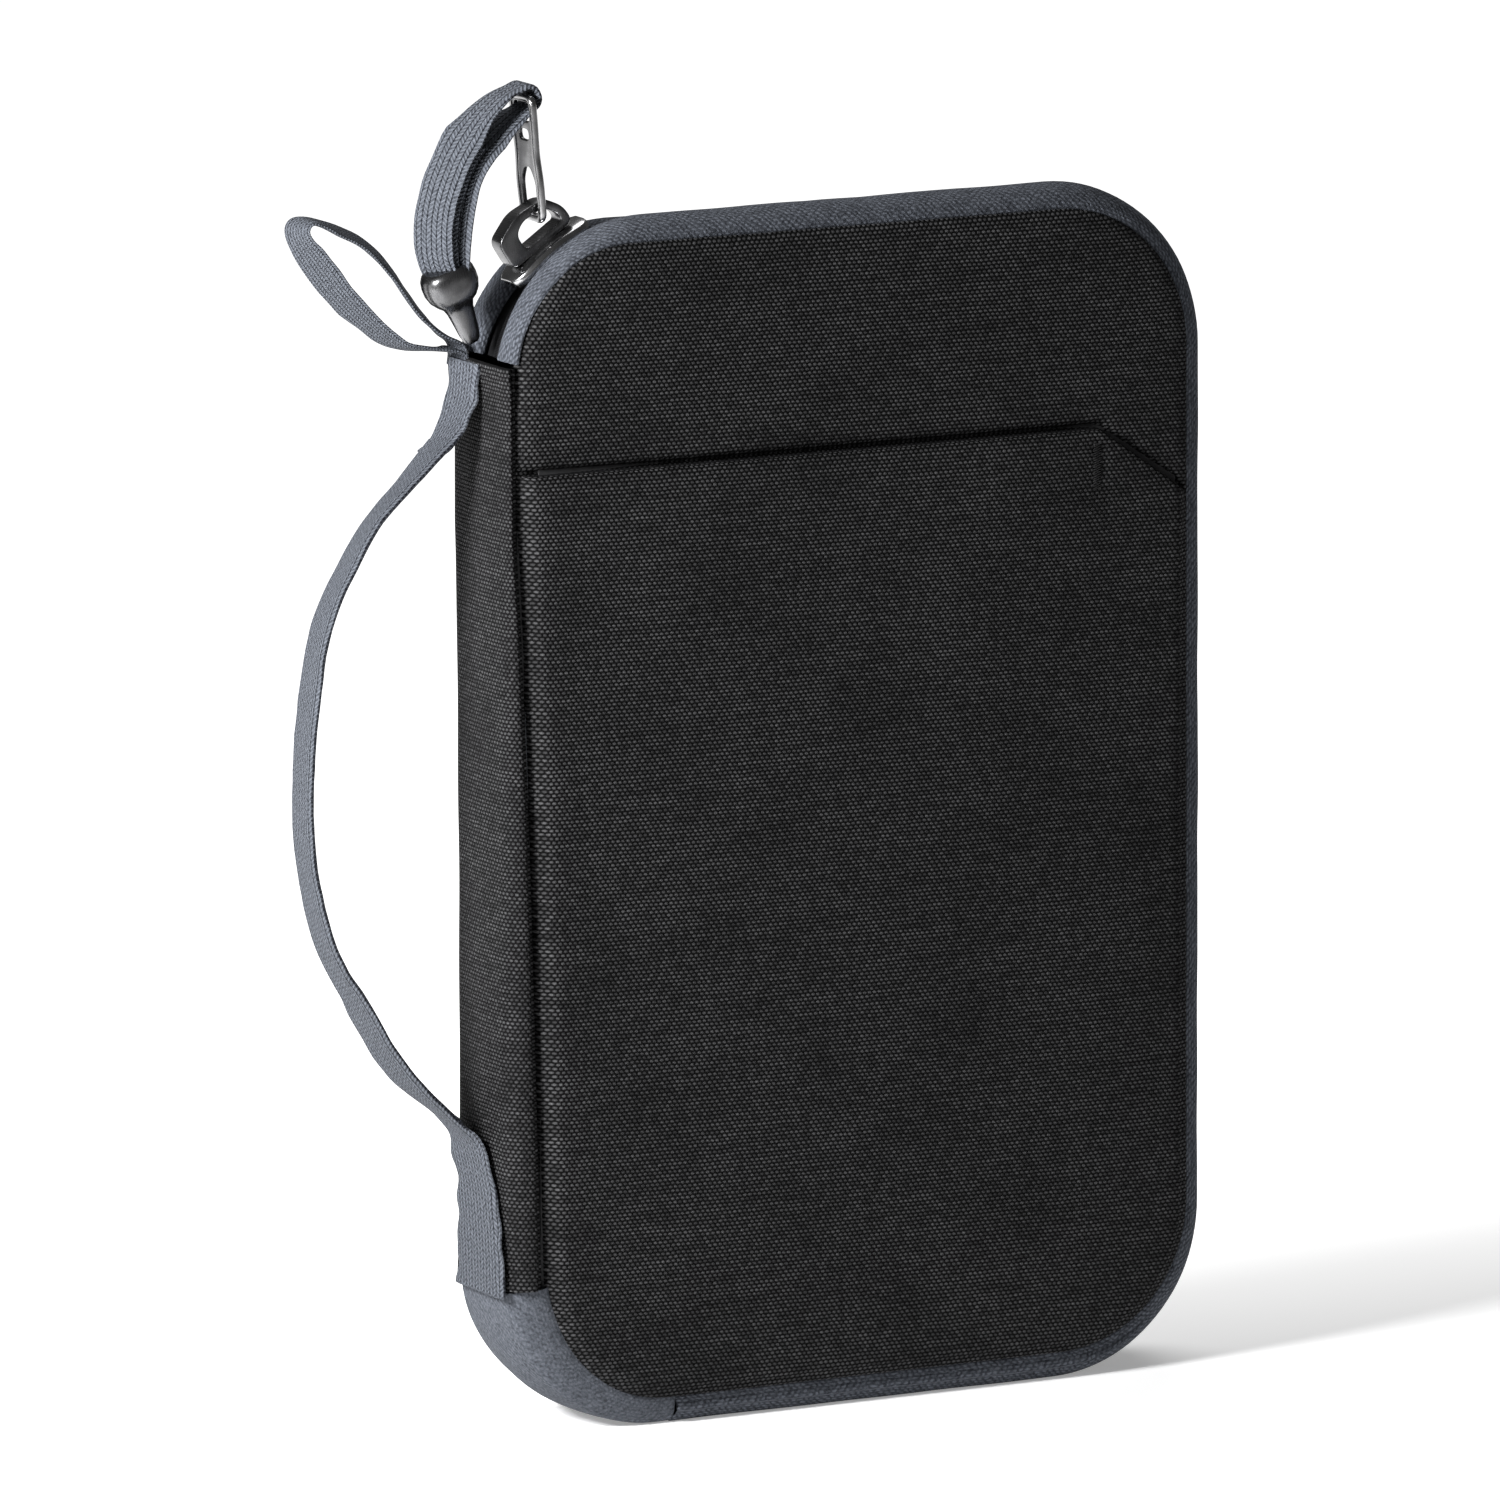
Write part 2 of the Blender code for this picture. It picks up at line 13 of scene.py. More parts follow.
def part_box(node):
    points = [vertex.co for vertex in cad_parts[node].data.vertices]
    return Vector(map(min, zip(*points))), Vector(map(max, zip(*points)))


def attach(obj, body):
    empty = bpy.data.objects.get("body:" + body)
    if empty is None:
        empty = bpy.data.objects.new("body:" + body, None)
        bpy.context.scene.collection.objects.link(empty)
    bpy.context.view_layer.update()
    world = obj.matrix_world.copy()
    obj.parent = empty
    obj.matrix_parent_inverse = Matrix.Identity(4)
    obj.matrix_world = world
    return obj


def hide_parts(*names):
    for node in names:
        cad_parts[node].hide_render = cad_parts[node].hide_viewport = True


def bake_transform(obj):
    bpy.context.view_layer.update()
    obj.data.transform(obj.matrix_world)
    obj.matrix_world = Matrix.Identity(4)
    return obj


MM = 0.001
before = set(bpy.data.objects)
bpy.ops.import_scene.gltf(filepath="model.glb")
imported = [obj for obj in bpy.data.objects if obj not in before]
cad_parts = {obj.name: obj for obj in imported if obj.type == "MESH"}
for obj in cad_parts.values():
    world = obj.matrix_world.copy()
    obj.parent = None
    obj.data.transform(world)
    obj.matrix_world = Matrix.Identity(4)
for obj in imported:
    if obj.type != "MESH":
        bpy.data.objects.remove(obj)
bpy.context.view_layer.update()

# The body's box and layers, from the frame
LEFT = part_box("spine_panel")[0].x
RIGHT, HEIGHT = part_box("rear_gusset_band")[1].x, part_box("rear_gusset_band")[1].z
MIDDLE_X = (LEFT + RIGHT) / 2
SPINE_LOW, SPINE_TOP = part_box("spine_panel")[0].z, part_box("spine_panel")[1].z
SEAM_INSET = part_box("front_cover_shell")[0].x - LEFT
CORNER_RADIUS = 30 * MM
ARC_X, ARC_Z = LEFT + CORNER_RADIUS, HEIGHT - CORNER_RADIUS
ZIP_START = math.radians(167)
CORNER_START = math.radians(187.2)
ZIP_END_X = ARC_X + 2.3 * MM
WEDGE = 0.09  # the body is this share thicker at the bottom, and thinner at the top
PANEL_LOW, PANEL_HIGH = 5.0 * MM, HEIGHT - 3.7 * MM
MOUTH_Z = 172.6 * MM
CHAMFER = (RIGHT - 22.8 * MM, RIGHT - SEAM_INSET, 159.6 * MM)
SLIDER_ANGLE = math.radians(125)
TAB_LEAN = math.radians(-6.0)
STRAP_STEPS = 6  # points on a strap's path for each listed station
LOOP_Y = 8.0  # the hanging loop's distance from the spine's middle, in millimetres
CAP_SIDES, CAP_TURN = 28, Vector((0.35, 0, -0.4))  # the cap hangs down from the webbing's direction
PULL_TWIST = math.radians(24)  # the pull's legs turn their faces towards the front
# A cover's left edge, in from the spine's face, at heights from the ground up
LEFT_EDGE = [(0, 7.2), (22, 6.9), (53, 6.2), (106, 5.0), (149, 3.4), (178, 1.8), (193, 2.6), (216, 3.4)]
# Corner radii of a cover, by (towards the free edge, towards the top)
PANEL_RADII = {(True, True): 25.8, (True, False): 25.8, (False, True): 21.5, (False, False): 24.0}
# Depths of a cover's back, seam and face from the middle
PAD_DEPTHS = {-1: (10.75, 11.3, 12.3), 1: (11.8, 11.9, 13.0)}

EDGE_BASE = 4.6 * MM  # the left edge's place where a cover's outline is first drawn

# Camera
AZIMUTH, ELEVATION = -27.5, 10.58
DISTANCE, LENS = 2.983, 402.1
AIM_RIGHT, AIM_UP = -14.6 * MM, 8.3 * MM  # off the body's middle, across the view


# ---------------------------------------------------------------- shader helpers


class Value:
    """A number that a shader works out: adding and multiplying make its math nodes."""

    def __init__(self, shader, socket):
        self.shader, self.socket = shader, socket

    def __add__(self, other):
        return self.shader.math("ADD", self, other)

    def __sub__(self, other):
        return self.shader.math("SUBTRACT", self, other)

    def __rsub__(self, other):
        return self.shader.math("SUBTRACT", other, self)

    def __mul__(self, other):
        return self.shader.math("MULTIPLY", self, other)


class Shader:
    """A material's node tree, with one short call for each kind of node."""

    def __init__(self, name):
        self.material = bpy.data.materials.new(name)
        self.material.use_nodes = True
        self.tree = self.material.node_tree
        self.main = self.tree.nodes["Principled BSDF"]

    def node(self, kind, inputs, **settings):
        """Adds a node; inputs are by name or by number, values or what other nodes give."""
        made = self.tree.nodes.new(kind)
        for key, value in settings.items():
            setattr(made, key, value)
        for key, value in inputs.items():
            self.link(value, made.inputs[key])
        return made

    def link(self, value, socket):
        if isinstance(value, Value):
            value = value.socket
        if isinstance(value, bpy.types.NodeSocket):
            self.tree.links.new(value, socket)
        elif isinstance(value, tuple):
            socket.default_value = (*value, 1.0)
        else:
            socket.default_value = value

    def value(self, kind, inputs, output=0, **settings):
        return Value(self, self.node(kind, inputs, **settings).outputs[output])

    def math(self, operation, a, b=0.0):
        return self.value("ShaderNodeMath", {0: a, 1: b}, operation=operation)

    def clamp(self, value):
        return self.value("ShaderNodeClamp", {"Value": value})

    def ramp(self, value, low, high):
        """0 at low, 1 at high, smooth between."""
        inputs = {"Value": value, "From Min": low, "From Max": high}
        return self.value("ShaderNodeMapRange", inputs, interpolation_type="SMOOTHSTEP")

    def wave(self, turns):
        return self.math("SINE", turns * (2 * math.pi))

    def split(self, vector):
        return [Value(self, part) for part in self.node("ShaderNodeSeparateXYZ", {0: vector}).outputs]

    def weave_place(self):
        """Where a point is on its cloth, in metres: the attribute that the mesh carries."""
        place = self.node("ShaderNodeAttribute", {}, attribute_name="cloth").outputs["Vector"]
        return place, *self.split(place)[:2]

    def object_place(self, first, second):
        place = self.node("ShaderNodeTexCoord", {}).outputs["Object"]
        parts = self.split(place)
        return place, parts[first], parts[second]

    def combine(self, x, y):
        return self.node("ShaderNodeCombineXYZ", {0: x, 1: y}).outputs[0]

    def noise(self, place, scale, detail=2.0, roughness=0.5):
        inputs = {"Vector": place, "Scale": scale, "Detail": detail, "Roughness": roughness}
        return self.value("ShaderNodeTexNoise", inputs, "Fac")

    def cell_noise(self, x, y):
        """A value of its own for each whole-numbered cell."""
        cell = self.combine(self.math("FLOOR", x), self.math("FLOOR", y))
        return self.value("ShaderNodeTexWhiteNoise", {"Vector": cell}, "Value", noise_dimensions="2D")

    def staggered(self, u, v, column_pitch, row_pitch, wander):
        """Cells in staggered rows: the column and row of a point, and its place in its cell."""
        row = v * (1 / row_pitch) + wander
        odd = self.math("MODULO", self.math("FLOOR", row), 2.0)
        column = u * (1 / column_pitch) + wander + odd * 0.5
        return column, row, self.math("FRACT", column) - 0.5, self.math("FRACT", row) - 0.5

    def round_dot(self, across, up, solid, edge):
        """1 within the solid radius of a cell's middle, 0 beyond the edge."""
        reach = self.math("SQRT", self.math("POWER", across, 2.0) + self.math("POWER", up, 2.0))
        return 1.0 - self.ramp(reach, solid, edge)

    def mix(self, share, low, high):
        made = self.node("ShaderNodeMix", {"Factor": share}, data_type="RGBA")
        self.link(low, made.inputs["A"])
        self.link(high, made.inputs["B"])
        return made.outputs["Result"]

    def bump(self, height, distance, strength=1.0):
        inputs = {"Strength": strength, "Distance": distance, "Height": height}
        return self.node("ShaderNodeBump", inputs).outputs["Normal"]

    def finish(self, color, roughness, normal=None, metallic=0.0, specular=0.5):
        inputs = {"Base Color": color, "Roughness": roughness, "Metallic": metallic}
        inputs["Specular IOR Level"] = specular
        if normal is not None:
            inputs["Normal"] = normal
        for name, value in inputs.items():
            self.link(value, self.main.inputs[name])
        return self.material


def black_weave(name, dark=(0.0009, 0.0009, 0.001), light=(0.098, 0.098, 0.101)):
    """Coarse black pack cloth: staggered thread dots, thicker threads here and there."""
    s = Shader(name)
    place, u, v = s.weave_place()
    wander = s.noise(place, 260.0, 1.0) * 0.35
    column, row, across, up = s.staggered(u, v, 0.98 * MM, 0.70 * MM, wander)
    dot = s.round_dot(across, up, 0.18, 0.54)
    slub = s.noise(s.combine(u * 60.0, v * 900.0), 1.0, 2.0)
    lift = dot * (s.cell_noise(column, row) * 0.5 + 0.375) * (slub + 0.4)
    color = s.mix(s.clamp(lift), dark, light)
    cloud = s.ramp(s.noise(place, 45.0, 3.0), 0.35, 0.8)
    color = s.mix(cloud, color, s.mix(0.35, color, dark))
    return s.finish(color, 0.75, s.bump(dot + slub * 0.5, 0.3 * MM), specular=0.08)


def heather(name, knit=0.48, fleck=0.95, dark=(0.006, 0.007, 0.010), light=(0.112, 0.122, 0.144)):
    """Blue-grey marled gusset cloth: slanted rice-shaped stitches in close rows, flecked thread."""
    s = Shader(name)
    place, u, v = s.weave_place()
    wander = s.noise(place, 350.0, 2.0) * 1.3
    column, row, across, up = s.staggered(u, v, 1.3 * MM, 0.62 * MM, wander)
    stitch = s.round_dot(across, up + across * 0.45, 0.14, 0.5) * knit
    marl = s.noise(place, 1500.0, 3.0, 0.7)
    blotch = s.noise(place, 420.0, 2.0) * 0.35
    tone = stitch * (s.cell_noise(column, row) * 0.9 + 0.4) + marl * fleck + blotch
    color = s.mix(s.ramp(tone, 0.25, 1.25), dark, light)
    return s.finish(color, 0.9, s.bump(stitch + marl, 0.2 * MM, 0.9), specular=0.15)


def webbing(name, rib_pitch=1.15, pick_pitch=0.8):
    """Grey herringbone webbing: ribs along the strap, slanted picks that turn at each rib."""
    s = Shader(name)
    place, u, v = s.weave_place()
    ribs = v * (1 / (rib_pitch * MM))
    pick = s.wave(u * (1 / (pick_pitch * MM)) + s.math("PINGPONG", ribs, 1.0) * 1.1)
    groove = s.ramp(s.math("ABSOLUTE", s.math("FRACT", ribs) - 0.5), 0.34, 0.5)
    height = pick * 0.35 - groove
    tone = height * 0.38 + s.noise(place, 1400.0, 2.0) * 0.75
    color = s.mix(s.ramp(tone, -0.12, 0.72), (0.006, 0.007, 0.011), (0.125, 0.137, 0.160))
    return s.finish(color, 0.84, s.bump(height, 0.22 * MM), specular=0.2)


def plain_cloth(name, dark, light, pitch=0.45):
    """Fine plain-weave lining on a flat piece."""
    s = Shader(name)
    place, u, v = s.object_place(0, 2)
    threads = 1 / (pitch * MM)
    weave = s.wave(u * threads) * s.wave(v * threads) * 0.5 + 0.5
    tone = weave * 0.5 + s.noise(place, 60.0, 3.0) * 0.5
    return s.finish(s.mix(tone, dark, light), 0.8, s.bump(weave, 0.06 * MM, 0.8), specular=0.2)


def tape_cloth(name):
    """Black zip tape: close diagonal ribs."""
    s = Shader(name)
    place, u, v = s.weave_place()
    rib = s.wave((u + v) * (1 / (0.55 * MM))) * 0.5 + 0.5
    color = s.mix(rib * s.noise(place, 1200.0, 2.0), (0.003, 0.003, 0.0035), (0.02, 0.02, 0.022))
    return s.finish(color, 0.8, s.bump(rib, 0.08 * MM, 0.8), specular=0.1)


def steel(name, dark, light, roughness):
    """Plated metal: faint brushing, cloudy tarnish and fine scratches."""
    s = Shader(name)
    place, u, v = s.object_place(0, 2)
    brushed = s.noise(s.combine(u * 9000.0, v * 500.0), 1.0, 3.0)
    color = s.mix(s.ramp(s.noise(place, 180.0, 3.0), 0.35, 0.7), dark, light)
    normal = s.bump(brushed, 0.012 * MM, 0.5)
    return s.finish(color, brushed * 0.16 + (roughness - 0.06), normal, metallic=1.0)


def speckled(name, dark, light, roughness, scale=900.0):
    """Foam, thread and moulded nylon: small-grained tone and bump."""
    s = Shader(name)
    grain = s.noise(s.object_place(0, 2)[0], scale, 3.0)
    return s.finish(s.mix(grain, dark, light), roughness, s.bump(grain, 0.05 * MM, 0.7))


BLACK = black_weave("black_pack_cloth")
# Painted sheen: the spine takes its own copy of the covers' black cloth, with lighter gaps and its tone
# set to the brightness the spine shows under the key light.
SPINE_SHEEN = black_weave("spine_pack_cloth_painted_sheen", (0.0025, 0.0025, 0.0027), (0.086, 0.086, 0.089))
HEATHER = heather("heather_gusset_cloth")
FLEECE = heather("heather_corner_cloth", 0.22, 1.15, (0.012, 0.014, 0.018), (0.118, 0.128, 0.150))
WEBBING = webbing("herringbone_webbing")
RIBBON = webbing("narrow_ribbon", rib_pitch=0.9, pick_pitch=0.6)
TAPE = tape_cloth("zip_tape_cloth")
LINING = plain_cloth("lining_cloth", (0.060, 0.064, 0.072), (0.150, 0.158, 0.172))
POCKET = plain_cloth("pocket_cloth", (0.045, 0.048, 0.055), (0.118, 0.124, 0.136), pitch=0.6)
BINDING = plain_cloth("binding_tape", (0.020, 0.021, 0.023), (0.062, 0.064, 0.070))
GUNMETAL = steel("gunmetal", (0.10, 0.10, 0.104), (0.21, 0.21, 0.215), 0.26)
BRIGHT = steel("bright_steel", (0.26, 0.26, 0.265), (0.42, 0.42, 0.425), 0.2)
FOAM = speckled("black_foam", (0.012, 0.012, 0.013), (0.045, 0.045, 0.047), 0.95, 500.0)
NYLON = speckled("coil_nylon", (0.010, 0.010, 0.011), (0.030, 0.030, 0.032), 0.42)
THREAD = speckled("black_thread", (0.002, 0.002, 0.002), (0.02, 0.02, 0.021), 0.7, 2500.0)


# ---------------------------------------------------------------- mesh helpers


def unit(value):
    return min(1.0, max(0.0, value))


def hump(off, width, power=2):
    """1 at the middle, falling to 0 beyond the width; a higher power gives a flatter top."""
    return math.exp(-((off / width) ** power))


def wedge(point):
    """The body's own sag: a little thicker low down, thinner at the top."""
    height = unit(point.z / HEIGHT)
    return Vector((point.x, point.y * (1 + WEDGE * (1 - 2 * height)), point.z))


def add_object(name, data):
    made = bpy.data.objects.new(name, data)
    bpy.context.scene.collection.objects.link(made)
    return made


def make_object(name, points, faces, cloth=None, shade_angle=50):
    mesh = bpy.data.meshes.new(name)
    mesh.from_pydata(points, [], faces)
    if cloth is not None:
        attribute = mesh.attributes.new("cloth", "FLOAT_VECTOR", "POINT")
        flat = [value for place in cloth for value in (place[0], place[1], 0.0)]
        attribute.data.foreach_set("vector", flat)
    mesh.validate()
    mesh.shade_smooth()
    if shade_angle:
        mesh.set_sharp_from_angle(angle=math.radians(shade_angle))
    return add_object(name, mesh)


def face_out(made):
    shape = bmesh.new()
    shape.from_mesh(made.data)
    bmesh.ops.recalc_face_normals(shape, faces=shape.faces)
    shape.to_mesh(made.data)
    shape.free()
    return made


def split_ends(made):
    """Triangles in place of a sweep's flat ends."""
    shape = bmesh.new()
    shape.from_mesh(made.data)
    bmesh.ops.triangulate(shape, faces=[face for face in shape.faces if len(face.verts) > 4])
    shape.to_mesh(made.data)
    shape.free()


def ride(made, body, slot, material, *nodes):
    made.data.materials.append(material)
    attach(made, body)
    if nodes:
        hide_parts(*nodes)


def bridge(made, bodies, start, end, slot, material, *nodes):
    """A soft piece between two bodies: it takes its material and stays where it is made, following neither
    body.
    """
    made.data.materials.append(material)
    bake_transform(made)
    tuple(start)
    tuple(end)
    if nodes:
        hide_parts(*nodes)


def ring_faces(low, high, count):
    """The faces between two rings of points, whose first points are low and high."""
    return [(low + i, low + (i + 1) % count, high + (i + 1) % count, high + i) for i in range(count)]


def sweep(name, rings, cloth_rings, shade_angle=50):
    """A closed body through rings of points, with flat ends."""
    points = [point for ring in rings for point in ring]
    cloth = [place for ring in cloth_rings for place in ring]
    count = len(rings[0])
    faces = []
    for r in range(len(rings) - 1):
        faces += ring_faces(r * count, (r + 1) * count, count)
    faces.append(tuple(range(count)))
    faces.append(tuple(range(len(points) - count, len(points))))
    return face_out(make_object(name, points, faces, cloth, shade_angle))


def circle(sides):
    return [2 * math.pi * k / sides for k in range(sides)]


def direction(line, i):
    """Where a line of points heads at its point i."""
    return (line[min(i + 1, len(line) - 1)] - line[max(i - 1, 0)]).normalized()


def along(points):
    """The distance along a line of points, at each of them."""
    total, found = 0.0, [0.0]
    for a, b in zip(points, points[1:]):
        total += math.dist(a, b)
        found.append(total)
    return found


def smooth_path(points, steps):
    """A Catmull-Rom curve through the points, steps to a span."""
    padded = [2 * points[0] - points[1], *points, 2 * points[-1] - points[-2]]
    path = []
    for a, b, c, d in zip(padded, padded[1:], padded[2:], padded[3:]):
        for step in range(steps):
            t = step / steps
            curve = 2 * b + (c - a) * t + (2 * a - 5 * b + 4 * c - d) * t**2
            path.append((curve + (3 * b - a - 3 * c + d) * t**3) / 2)
    return [*path, points[-1].copy()]


def arc(x, z, radius, start, end, step=1.2 * MM):
    count = max(2, round(abs(end - start) * radius / step))
    angles = [start + (end - start) * i / count for i in range(count + 1)]
    return [(x + radius * math.cos(a), z + radius * math.sin(a)) for a in angles]


def spread(start, end, step=1.6 * MM):
    """Evenly spaced places strictly between two."""
    count = max(1, round(math.dist(start, end) / step))
    shares = [i / count for i in range(1, count)]
    return [tuple(a + (b - a) * t for a, b in zip(start, end)) for t in shares]


# ---------------------------------------------------------------- padded covers


EDGE_LINE = smooth_path([Vector((inset * MM, 0, z * MM)) for z, inset in LEFT_EDGE], 5)


def left_edge(z):
    """Where a cover meets the spine's fold at a height."""
    height = min(HEIGHT, max(0.0, z))
    for low, high in zip(EDGE_LINE, EDGE_LINE[1:]):
        if height <= high.z:
            share = (height - low.z) / (high.z - low.z)
            return LEFT + low.x + (high.x - low.x) * share
    return LEFT + EDGE_LINE[-1].x


def panel_outline():
    """The seam round a cover: three sides in from the crest, the fourth at the spine."""
    low, high = PANEL_LOW, PANEL_HIGH
    left, right = LEFT + EDGE_BASE, RIGHT - SEAM_INSET
    outline, turn = [], math.pi / 2
    corners = []
    for k, (at_right, at_top) in enumerate([(True, True), (False, True), (False, False), (True, False)]):
        radius = PANEL_RADII[(at_right, at_top)] * MM
        x = right - radius if at_right else left + radius
        z = high - radius if at_top else low + radius
        corners.append(arc(x, z, radius, k * turn, (k + 1) * turn))
    for here, after in zip(corners, corners[1:] + corners[:1]):
        outline += here + spread(here[-1], after[0])
    return [(x + shift_in(x, z), z) for x, z in outline]


def shift_in(x, z):
    """Moves the left edge to the fold's own line, and less and less from the corners on."""
    return (left_edge(z) - LEFT - EDGE_BASE) * unit(1 - (x - LEFT - EDGE_BASE - 26 * MM) / (40 * MM))


def edge_distance(x, z):
    """How far a point is inside the seam, in metres."""
    left, right = left_edge(z), RIGHT - SEAM_INSET
    off_x, off_z = x - (left + right) / 2, z - (PANEL_LOW + PANEL_HIGH) / 2
    radius = PANEL_RADII[(off_x > 0, off_z > 0)] * MM
    from_x = abs(off_x) - ((right - left) / 2 - radius)
    from_z = abs(off_z) - ((PANEL_HIGH - PANEL_LOW) / 2 - radius)
    outside = math.hypot(max(from_x, 0), max(from_z, 0))
    return radius - outside - min(max(from_x, from_z), 0)


def slack(x, z, side):
    """The soft cover's own unevenness, shared by all its layers."""
    wave = noise.noise(Vector((x * 26, side * 3.0, z * 20)))
    return wave + 0.45 * noise.noise(Vector((x * 75, side * 7.0, z * 66)))


def pad_depth(x, z, side):
    """How far a cover's face stands from the middle: rolled at the seams, most of all at the spine."""
    _, seam, face = (value * MM for value in PAD_DEPTHS[side])
    inside = max(0.0, edge_distance(x, z))
    by_spine = max(0.0, 1 - (x - left_edge(z)) / (18 * MM)) ** 1.5
    roll = (3.2 + 2.4 * by_spine) * MM
    t = unit(inside / roll)
    seam -= 1.9 * MM * by_spine
    depth = seam + (face - seam + 0.4 * MM * by_spine) * math.sqrt(max(0.0, 1 - (1 - t) ** 2.2))
    depth += 1.5 * MM * (1 - (1 - unit(inside / (52 * MM))) ** 2)
    pucker = noise.noise(Vector((x * 170, side * 2.0, z * 170)))
    depth += 0.13 * MM * pucker * t * math.exp(-inside / (7 * MM))
    return depth + 0.24 * MM * slack(x, z, side) * unit(inside / (9 * MM))


def fill_outline(outline, spacing, rings=()):
    """Points and triangles inside an outline: the given rings near its edge, a grid further in."""
    points = [Vector(place) for place in outline]
    edges = [(i, (i + 1) % len(points)) for i in range(len(points))]
    for ring in rings:
        points += [Vector(place) for place in ring]
    lows = [min(p[axis] for p in outline) for axis in (0, 1)]
    highs = [max(p[axis] for p in outline) for axis in (0, 1)]
    for r in range(1, int((highs[1] - lows[1]) / spacing)):
        offset = spacing / 2 if r % 2 else 0.0
        for c in range(1, int((highs[0] - lows[0]) / spacing) + 1):
            points.append(Vector((lows[0] + c * spacing + offset, lows[1] + r * spacing)))
    result = geometry.delaunay_2d_cdt(points, edges, [], 1, 1e-7)
    return [tuple(p) for p in result[0]], [tuple(face) for face in result[2]]


def inner_rings(outline, insets, keep):
    """Copies of an outline moved in, to give a rolled edge enough points."""
    rings = []
    count = len(outline)
    for inset in insets:
        ring = []
        for i in range(0, count, 1 if inset < 3 * MM else 2):
            before, after = Vector(outline[i - 1]), Vector(outline[(i + 1) % count])
            line = (after - before).normalized()
            place = Vector(outline[i]) + Vector((-line.y, line.x)) * inset
            if keep(place.x, place.y):
                ring.append((place.x, place.y))
        rings.append(ring)
    return rings


TACK_X, TACK_Z = ((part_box("pocket_bartack")[0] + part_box("pocket_bartack")[1]) / 2).xz


def mouth_distance(x, z):
    """How far a point is below the slip pocket's mouth and chamfer."""
    start, end, low = CHAMFER
    below = MOUTH_Z - z
    span = Vector((end - start, low - MOUTH_Z))
    normal = Vector((-span.y, span.x)).normalized()
    slanted = -(Vector((x - start, z - MOUTH_Z)).dot(normal))
    return min(below, slanted)


def front_depth(x, z):
    """The front panel, pressed in a little where it passes behind the pocket's mouth."""
    below = mouth_distance(x, z)
    dip = 1.1 * hump(below + 0.45 * MM, 0.75 * MM) + 0.3 * hump(below, 4 * MM)
    fade = unit(edge_distance(x, z) / (2.5 * MM))
    return pad_depth(x, z, -1) - 1.7 * MM * dip * fade


def fold_share(x, z):
    """0 at the pocket's mouth, 1 from where the cloth has turned over its fold."""
    return math.sqrt(1 - (1 - unit(mouth_distance(x, z) / (0.45 * MM))) ** 2)


def fold_rise(x, z):
    """Cloth used up by the fold, so that the weave isn't drawn out over it."""
    return 0.8 * MM * (1 - fold_share(x, z))


def pocket_depth(x, z):
    """The slip pocket's cloth, with a rounded fold along its mouth."""
    below = max(0.0, mouth_distance(x, z))
    hem = 0.25 * MM * hump(below - 3.2 * MM, 3.4 * MM, 4)
    fade = unit(edge_distance(x, z) / (2.4 * MM))
    droop = 0.35 * MM * hump(below - 10 * MM, 12 * MM)
    tack = hump(x - TACK_X, 1.0 * MM) * hump(z - TACK_Z, 4.6 * MM, 6)
    pressed = 0.45 * MM * tack + 0.5 * MM * (1 - fade) + 0.25 * MM
    return pad_depth(x, z, -1) - pressed + (fade * (0.75 * MM + droop) + hem) * fold_share(x, z)


def skin(name, outline, rings, face, back, rise=lambda x, z: 0.0):
    """A closed panel between y = face(x, z) and y = back(x, z); rise carries the weave over a step."""
    places, triangles = fill_outline(outline, 2.6 * MM, rings)
    count = len(places)
    front = [wedge(Vector((x, face(x, z), z))) for x, z in places]
    rear = [wedge(Vector((x, back(x, z), z))) for x, z in places]
    faces = [tuple(triangle) for triangle in triangles]
    faces += [tuple(i + count for i in reversed(triangle)) for triangle in triangles]
    sides = {(a, b) for t in triangles for a, b in zip(t, t[1:] + t[:1])}
    faces += [(b, a, a + count, b + count) for a, b in sides if (b, a) not in sides]
    cloth = [(x, z + rise(x, z)) for x, z in places]
    return face_out(make_object(name, front + rear, faces, cloth * 2, 60))


def pad(name, side, depth, extra_rings=()):
    outline = panel_outline()
    insets = [value * MM for value in (0.3, 0.7, 1.2, 1.8, 2.6, 3.6, 4.8, 6.4)]
    rings = inner_rings(outline, insets, lambda x, z: True) + list(extra_rings)
    back = PAD_DEPTHS[side][0] * MM

    def inner(x, z):
        return side * min(back, depth(x, z) - 0.3 * MM)

    made = skin(name, outline, rings, lambda x, z: side * depth(x, z), inner)
    return made


def make_front_cover():
    start, end, low = CHAMFER
    left = left_edge(MOUTH_Z) + 1.5 * MM
    lines = []
    for offset in (2.4, 1.7, 1.3, 1.0, 0.7, 0.4, 0.1, -0.4, -1.2, -2.2):
        up = offset * MM
        line = spread((left, MOUTH_Z + up), (start + 0.25 * up, MOUTH_Z + up), 1.4 * MM)
        line += spread((start + 0.25 * up, MOUTH_Z + up), (end + 0.25 * up, low + up), 1.4 * MM)
        lines.append(line)
    cover = pad("front_cover_pad", -1, front_depth, lines)
    ride(cover, "front_cover", "black_fabric", BLACK, "front_cover_shell")


def make_rear_cover():
    cover = pad("rear_cover_pad", 1, lambda x, z: pad_depth(x, z, 1))
    ride(cover, "rear_cover", "black_fabric", BLACK, "rear_cover_shell")


